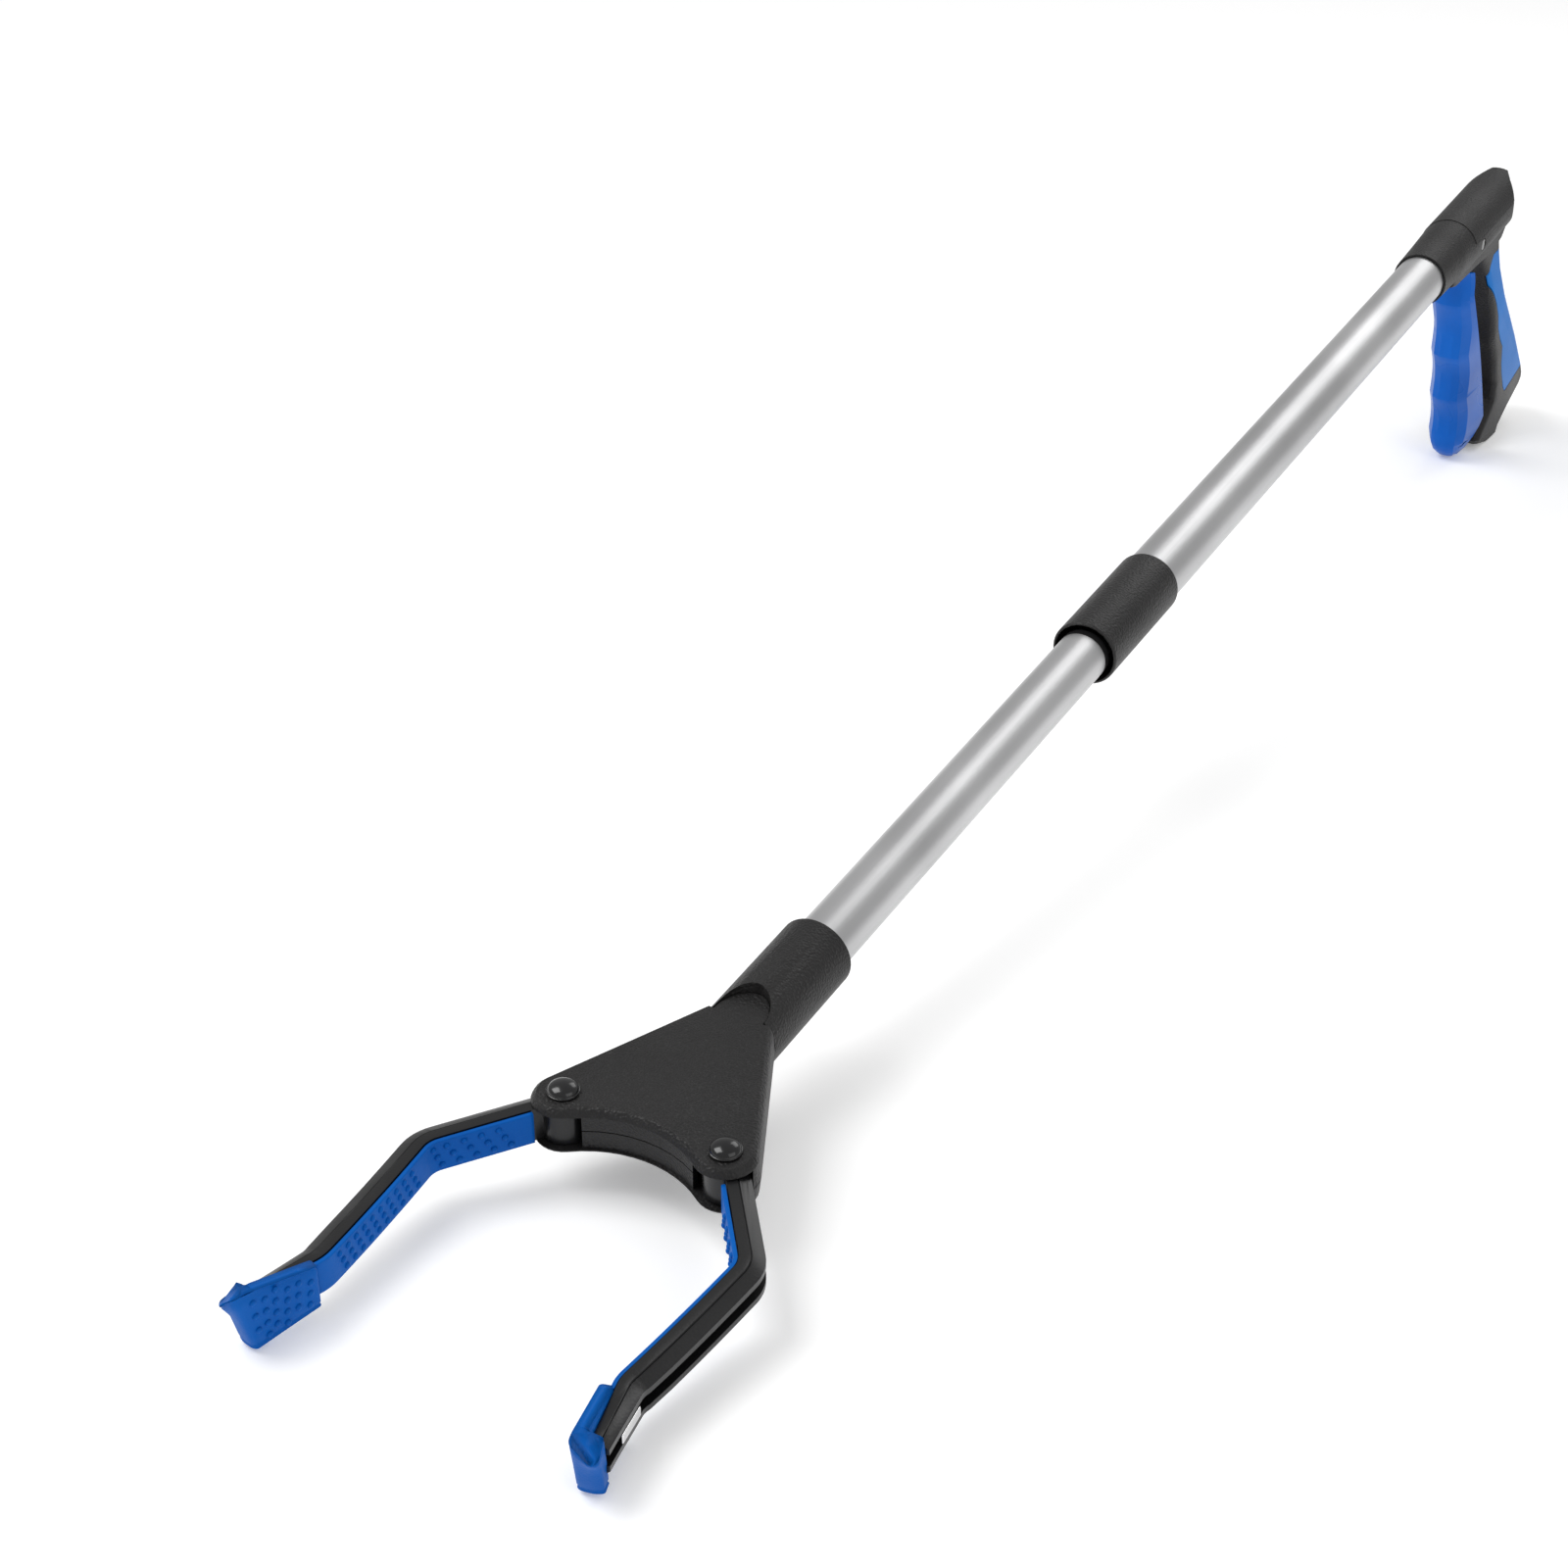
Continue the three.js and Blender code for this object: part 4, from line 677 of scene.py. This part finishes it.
@dataclass
class TipPad:
    """Rubber tip: a wedge that grows taller towards its end and hooks round the end of the arm."""

    side: Side
    path: JawPath = field(default_factory=JawPath)
    rear: float = 4.1
    length: float = 24.4
    thickness: float = 3.1
    rear_height: float = 12.0
    front_height: float = 19.2
    rake: float = 4.6
    edge_inset: float = 0.465
    edge_drop: float = 0.09
    side_levels: int = 7
    outline_points: int = 120
    hook: float = 3.2
    face_out: float = 0.3
    columns: tuple[int, ...] = (3, 3, 4, 4, 4, 3)
    column_start: float = 3.0
    column_step: float = 3.3
    column_slant: float = 0.8
    stagger: float = 0.1
    nub_radius: float = 0.9
    nub_height: float = 0.7

    @property
    def end(self) -> float:
        """Returns how far from the wrist the pad ends."""
        return self.rear + self.length

    def outline(self) -> np.ndarray:
        """Plan of the pad as distance along the tip and outwards, with its corners rounded.

        Returns:
            Closed outline, anticlockwise.
        """
        face = -self.face_out - self.thickness
        back = self.path.tip_reach + 0.4
        return evenly_spaced(rounded_outline([
            (self.rear, face, 1.1), (self.end - 0.4, face, 2.3), (self.end, self.hook - 2.2, 0.8),
            (self.end - 1.0, self.hook, 1.0), (back, self.hook, 0.5),
            (back, -self.face_out, 0.5), (self.rear, -self.face_out, 0.3),
        ]), self.outline_points)

    def lifted(self, along: np.ndarray, out: np.ndarray, level: np.ndarray) -> np.ndarray:
        """Carries plan points to their place: half the height grows evenly along the pad, the far
        end leans back below by the rake, and the top of the hook falls away outwards.

        Args:
            along: Distance from the wrist.
            out: Distance outwards.
            level: Height as a share from -1 at the bottom to 1 at the top.

        Returns:
            Tool points.
        """
        share = np.clip((along - self.rear) / self.length, 0, 1)
        half = self.rear_height / 2 + (self.front_height - self.rear_height) / 2 * share
        lean = np.clip((share - 0.35) / 0.65, 0, 1) ** 1.5 * self.rake * (1 - level) / 2
        corner = 0.2 * np.clip((share - 0.78) / 0.22, 0, 1) ** 2
        outwards = np.clip((out + 2.6) / 5.2, 0, 1) * np.clip((share - 0.68) / 0.15, 0, 1)
        droop = 1.0 - (corner + 0.46 * outwards**2 * (3 - 2 * outwards)) * (level > 0)
        s = along - lean
        wx, wy = self.path.wrist
        flare = self.path.flare
        x = wx - s * math.cos(flare) + out * math.sin(flare)
        y = (wy + s * math.sin(flare) + out * math.cos(flare)) * self.side.value
        near, far = (wx - d * math.cos(flare) for d in (self.rear, self.end))
        low, high = (self.path.lift * (v - self.path.elbow[0]) ** 2 for v in (near, far))
        middle = low + (high - low) * share
        return np.stack([x, y, middle + level * half * droop], -1)

    def body(self) -> tuple[np.ndarray, list[list[int]]]:
        """Stacks the outline in levels, sorted from the bottom up. The sides are an even stack and
        the top and bottom keep the full outline; just inside them it is drawn in along a quarter
        circle, which leaves a fine groove.

        Returns:
            Points in metres and faces.
        """
        plan = self.outline()
        arc = np.linspace(0, math.pi / 2, 5)
        inset = self.edge_inset * (1 - np.sin(arc))
        drop = self.edge_drop * (1 - np.cos(arc))[::-1]
        sides = np.linspace(-0.8, 0.8, self.side_levels)
        levels = np.concatenate([-1 + drop, sides, 1 - drop[::-1]])
        depths = np.concatenate([inset, np.zeros(self.side_levels), inset[::-1]])
        order = np.argsort(levels, kind="stable")
        rings = [
            self.lifted(*drawn_in(plan, depths[n]).T, np.full(len(plan), levels[n])) for n in order
        ]
        return TOOL.place(np.array(rings)), ring_faces(len(rings), len(plan))

    def nubs(self) -> list[tuple[np.ndarray, list[list[int]]]]:
        """Staggered columns of nubs on the pinching face, more of them where it is taller.

        Returns:
            Shells of the nubs.
        """
        spots = []
        for column, count in enumerate(self.columns):
            level = (np.arange(count) - (count - 1) / 2) * (0.5 if count == 3 else 0.44)
            shift = self.stagger if column % 2 else -self.stagger
            along = self.rear + self.column_start + column * self.column_step
            slanted = np.full(count, along) - level * self.column_slant
            spots.append(np.stack([slanted, level + shift], -1))
        table = np.concatenate(spots)
        out = np.full(len(table), -self.face_out - self.thickness)
        places = self.lifted(table[:, 0], out, table[:, 1])
        flare = self.path.flare
        normal = np.array([-math.sin(flare), -math.cos(flare) * self.side.value, 0.0])
        return nub_shells(places, np.tile(normal, (len(places), 1)), self.nub_radius, self.nub_height)

    def build(self, shop: Workshop) -> None:
        """Builds the pad and lets it stand for its node."""
        word = self.side.word
        piece = make_piece(f"rubber_tip_{word}", [self.body(), *self.nubs()])
        shop.join_in(piece, f"tip_pad_{word}", f"jaw_{word}", BLUE_RUBBER)


@dataclass
class Jaws:
    """Both jaws: black arms, blue liners and tips, and the magnet in the right arm."""

    edge: float = 0.45

    def build(self, shop: Workshop) -> None:
        """Builds each jaw's pieces in turn."""
        for side in Side:
            shop.softened(f"jaw_{side.word}", f"jaw_{side.word}", BLACK_GLOSS, self.edge)
            JawLiner(side).build(shop)
            TipPad(side).build(shop)
        shop.softened("tip_magnet", "jaw_right", BRIGHT_MAGNET, 0.3)


@dataclass
class Head:
    """Clamshell head with its pivots, yoke and spring."""

    edge: float = 0.7

    def build(self, shop: Workshop) -> None:
        """Rounds the two shells and the domes, and dresses the works inside.

        Args:
            shop: Workshop that holds the loaded model.
        """
        for node in ("head_base", "head_cover"):
            shop.softened(node, "head", BLACK_GRAINED, self.edge)
        for side in Side:
            shop.softened(f"pivot_post_{side.word}", "head", BLACK_DOME, 0.2)
        hidden = ("head_screw_1", "head_screw_2", "pivot_screw_left", "pivot_screw_right")
        for node in (*hidden, "spring_seat", "return_spring", "yoke_pin_left", "yoke_pin_right"):
            shop.dress(shop.frame["nodes"][node], PLAIN_STEEL)
        shop.dress(shop.frame["nodes"]["yoke"], BLACK_MOULDED)


@dataclass
class Pole:
    """Both tubes with the swivel, the fold joint, its collar and the cable inside."""

    edge: float = 0.3

    def build(self, shop: Workshop) -> None:
        """Smooths the round pieces and dresses the rest.

        Args:
            shop: Workshop that holds the loaded model.
        """
        shop.softened("upper_tube", "handle", SATIN_ALUMINIUM, 0.25)
        shop.softened("lower_tube", "lower_pole", SATIN_ALUMINIUM, 0.25)
        shop.softened("lock_collar", "collar", BLACK_GRAINED, 0.5)
        shop.softened("swivel_spigot", "lower_pole", BLACK_MOULDED, self.edge)
        shop.softened("lower_hinge_fitting", "lower_pole", BLACK_MOULDED, self.edge)
        shop.softened("upper_hinge_fitting", "handle", BLACK_MOULDED, self.edge)
        metal = (
            "swivel_ring", "spigot_pin", "lower_fitting_screw", "hinge_pin_left",
            "hinge_pin_right", "upper_fitting_pin", "cable_lower", "cable_bend", "cable_upper",
        )
        for node in metal:
            shop.dress(shop.frame["nodes"][node], PLAIN_STEEL)


@dataclass
class Handle:
    """Barrel, grip with its soft back, and the blue trigger."""

    edge: float = 0.7

    def build(self, shop: Workshop) -> None:
        """Rounds the mouldings and dresses the small hardware.

        Args:
            shop: Workshop that holds the loaded model.
        """
        shop.softened("handle_body", "handle", BLACK_GRAINED, self.edge)
        shop.softened("barrel_cover", "handle", BLACK_GRAINED, 0.5)
        strap = shop.softened("grip_backstrap", "handle", BLUE_STRAP, 0.5)
        trigger = shop.softened("trigger", "trigger", BLUE_MOULDED, 0.5, 27.0)
        for node in ("trigger_pin", "handle_tube_pin"):
            shop.dress(shop.frame["nodes"][node], PLAIN_STEEL)
        for side in Side:
            shop.dress(shop.frame["nodes"][f"cover_screw_{side.word}"], BLACK_DOME)


# ---------------------------------------------------------------- stage


@dataclass(frozen=True)
class Lamp:
    """One square soft light: where it stands and its side in metres, and its power in watts."""

    name: str
    place: tuple[float, float, float]
    size: float
    power: float

    def build(self) -> None:
        """Adds the light, facing the middle of the tool."""
        data = bpy.data.lights.new(self.name, "AREA")
        data.size = self.size
        data.energy = self.power
        lamp = bpy.data.objects.new(self.name, data)
        bpy.context.scene.collection.objects.link(lamp)
        lamp.location = self.place
        lamp.rotation_euler = (-Vector(self.place)).to_track_quat("-Z", "Y").to_euler()


@dataclass
class Studio:
    """Pale floor, broad soft lights and the camera."""

    camera_place: tuple[float, float, float] = (-456.2, -291.2, 467.9)
    forward: tuple[float, float, float] = (0.7276, 0.4017, -0.5561)
    lens: float = 66.17
    sensor: float = 36.0
    floor_radius: float = 6.0
    floor_height: float = -0.0004
    floor_tone: float = 0.93
    floor_glow: float = 0.22
    room_strength: float = 0.5
    lamps: tuple[Lamp, ...] = (
        Lamp("key", (-0.7, 0.9, 1.4), 1.0, 17.0),
        Lamp("fill", (-0.6, -1.3, 0.9), 1.2, 5.0),
        Lamp("rim", (1.35, -0.1, 1.3), 0.9, 5.5),
    )

    def camera(self) -> None:
        """Sets the camera: its axes are right, up and the reverse of forward, turned by the tilt."""
        ahead = TOOL.turn(np.array(self.forward))
        ahead /= np.linalg.norm(ahead)
        right = TOOL.turn(np.array([0.4833, -0.8755, 0.0]))
        right -= ahead * float(right @ ahead)
        right /= np.linalg.norm(right)
        up = np.cross(right, ahead)
        data = bpy.data.cameras.new("camera")
        data.lens = self.lens
        data.sensor_width = self.sensor
        data.clip_start = 0.01
        camera = bpy.data.objects.new("camera", data)
        bpy.context.scene.collection.objects.link(camera)
        matrix = Matrix(np.stack([right, up, -ahead], 1).tolist()).to_4x4()
        matrix.translation = Vector(TOOL.place(np.array(self.camera_place)).tolist())
        camera.matrix_world = matrix
        bpy.context.scene.camera = camera

    def floor(self) -> None:
        """Lays a pale disc just under the tool: rings of growing radius, all at one height."""
        rings, sides = 40, 64
        radius = np.linspace(0.0, self.floor_radius, rings)[:, None]
        turn = np.linspace(0, 2 * math.pi, sides, endpoint=False)[None, :]
        x, y = radius * np.cos(turn), radius * np.sin(turn)
        z = np.full(x.shape, self.floor_height)
        piece = make_piece("floor", [(np.stack([x, y, z], -1), ring_faces(rings, sides, False))])
        material = bpy.data.materials.new("pale_floor")
        material.use_nodes = True
        shader = material.node_tree.nodes["Principled BSDF"]
        shader.inputs["Base Color"].default_value = (*(self.floor_tone,) * 3, 1.0)
        shader.inputs["Roughness"].default_value = 0.7
        shader.inputs["Emission Color"].default_value = (1.0, 1.0, 1.0, 1.0)
        shader.inputs["Emission Strength"].default_value = self.floor_glow
        piece.data.materials.append(material)

    def build(self) -> None:
        """Sets up the camera, the lights, the pale surroundings and the floor."""
        self.camera()
        for lamp in self.lamps:
            lamp.build()
        world = bpy.data.worlds.new("pale room")
        world.use_nodes = True
        back = world.node_tree.nodes["Background"]
        back.inputs["Color"].default_value = (1.0, 1.0, 1.0, 1.0)
        back.inputs["Strength"].default_value = self.room_strength
        bpy.context.scene.world = world
        bpy.context.scene.view_settings.view_transform = "Standard"
        self.floor()


def main() -> None:
    """Loads the frame, sets the stage and builds each sub-assembly."""
    logging.basicConfig(level=logging.INFO, format="%(name)s: %(message)s")
    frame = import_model()
    grain_group()
    drawn_group()
    Studio().build()
    shop = Workshop(frame)
    for assembly in (Jaws(), Head(), Pole(), Handle()):
        assembly.build(shop)


if __name__ == "__main__":
    main()
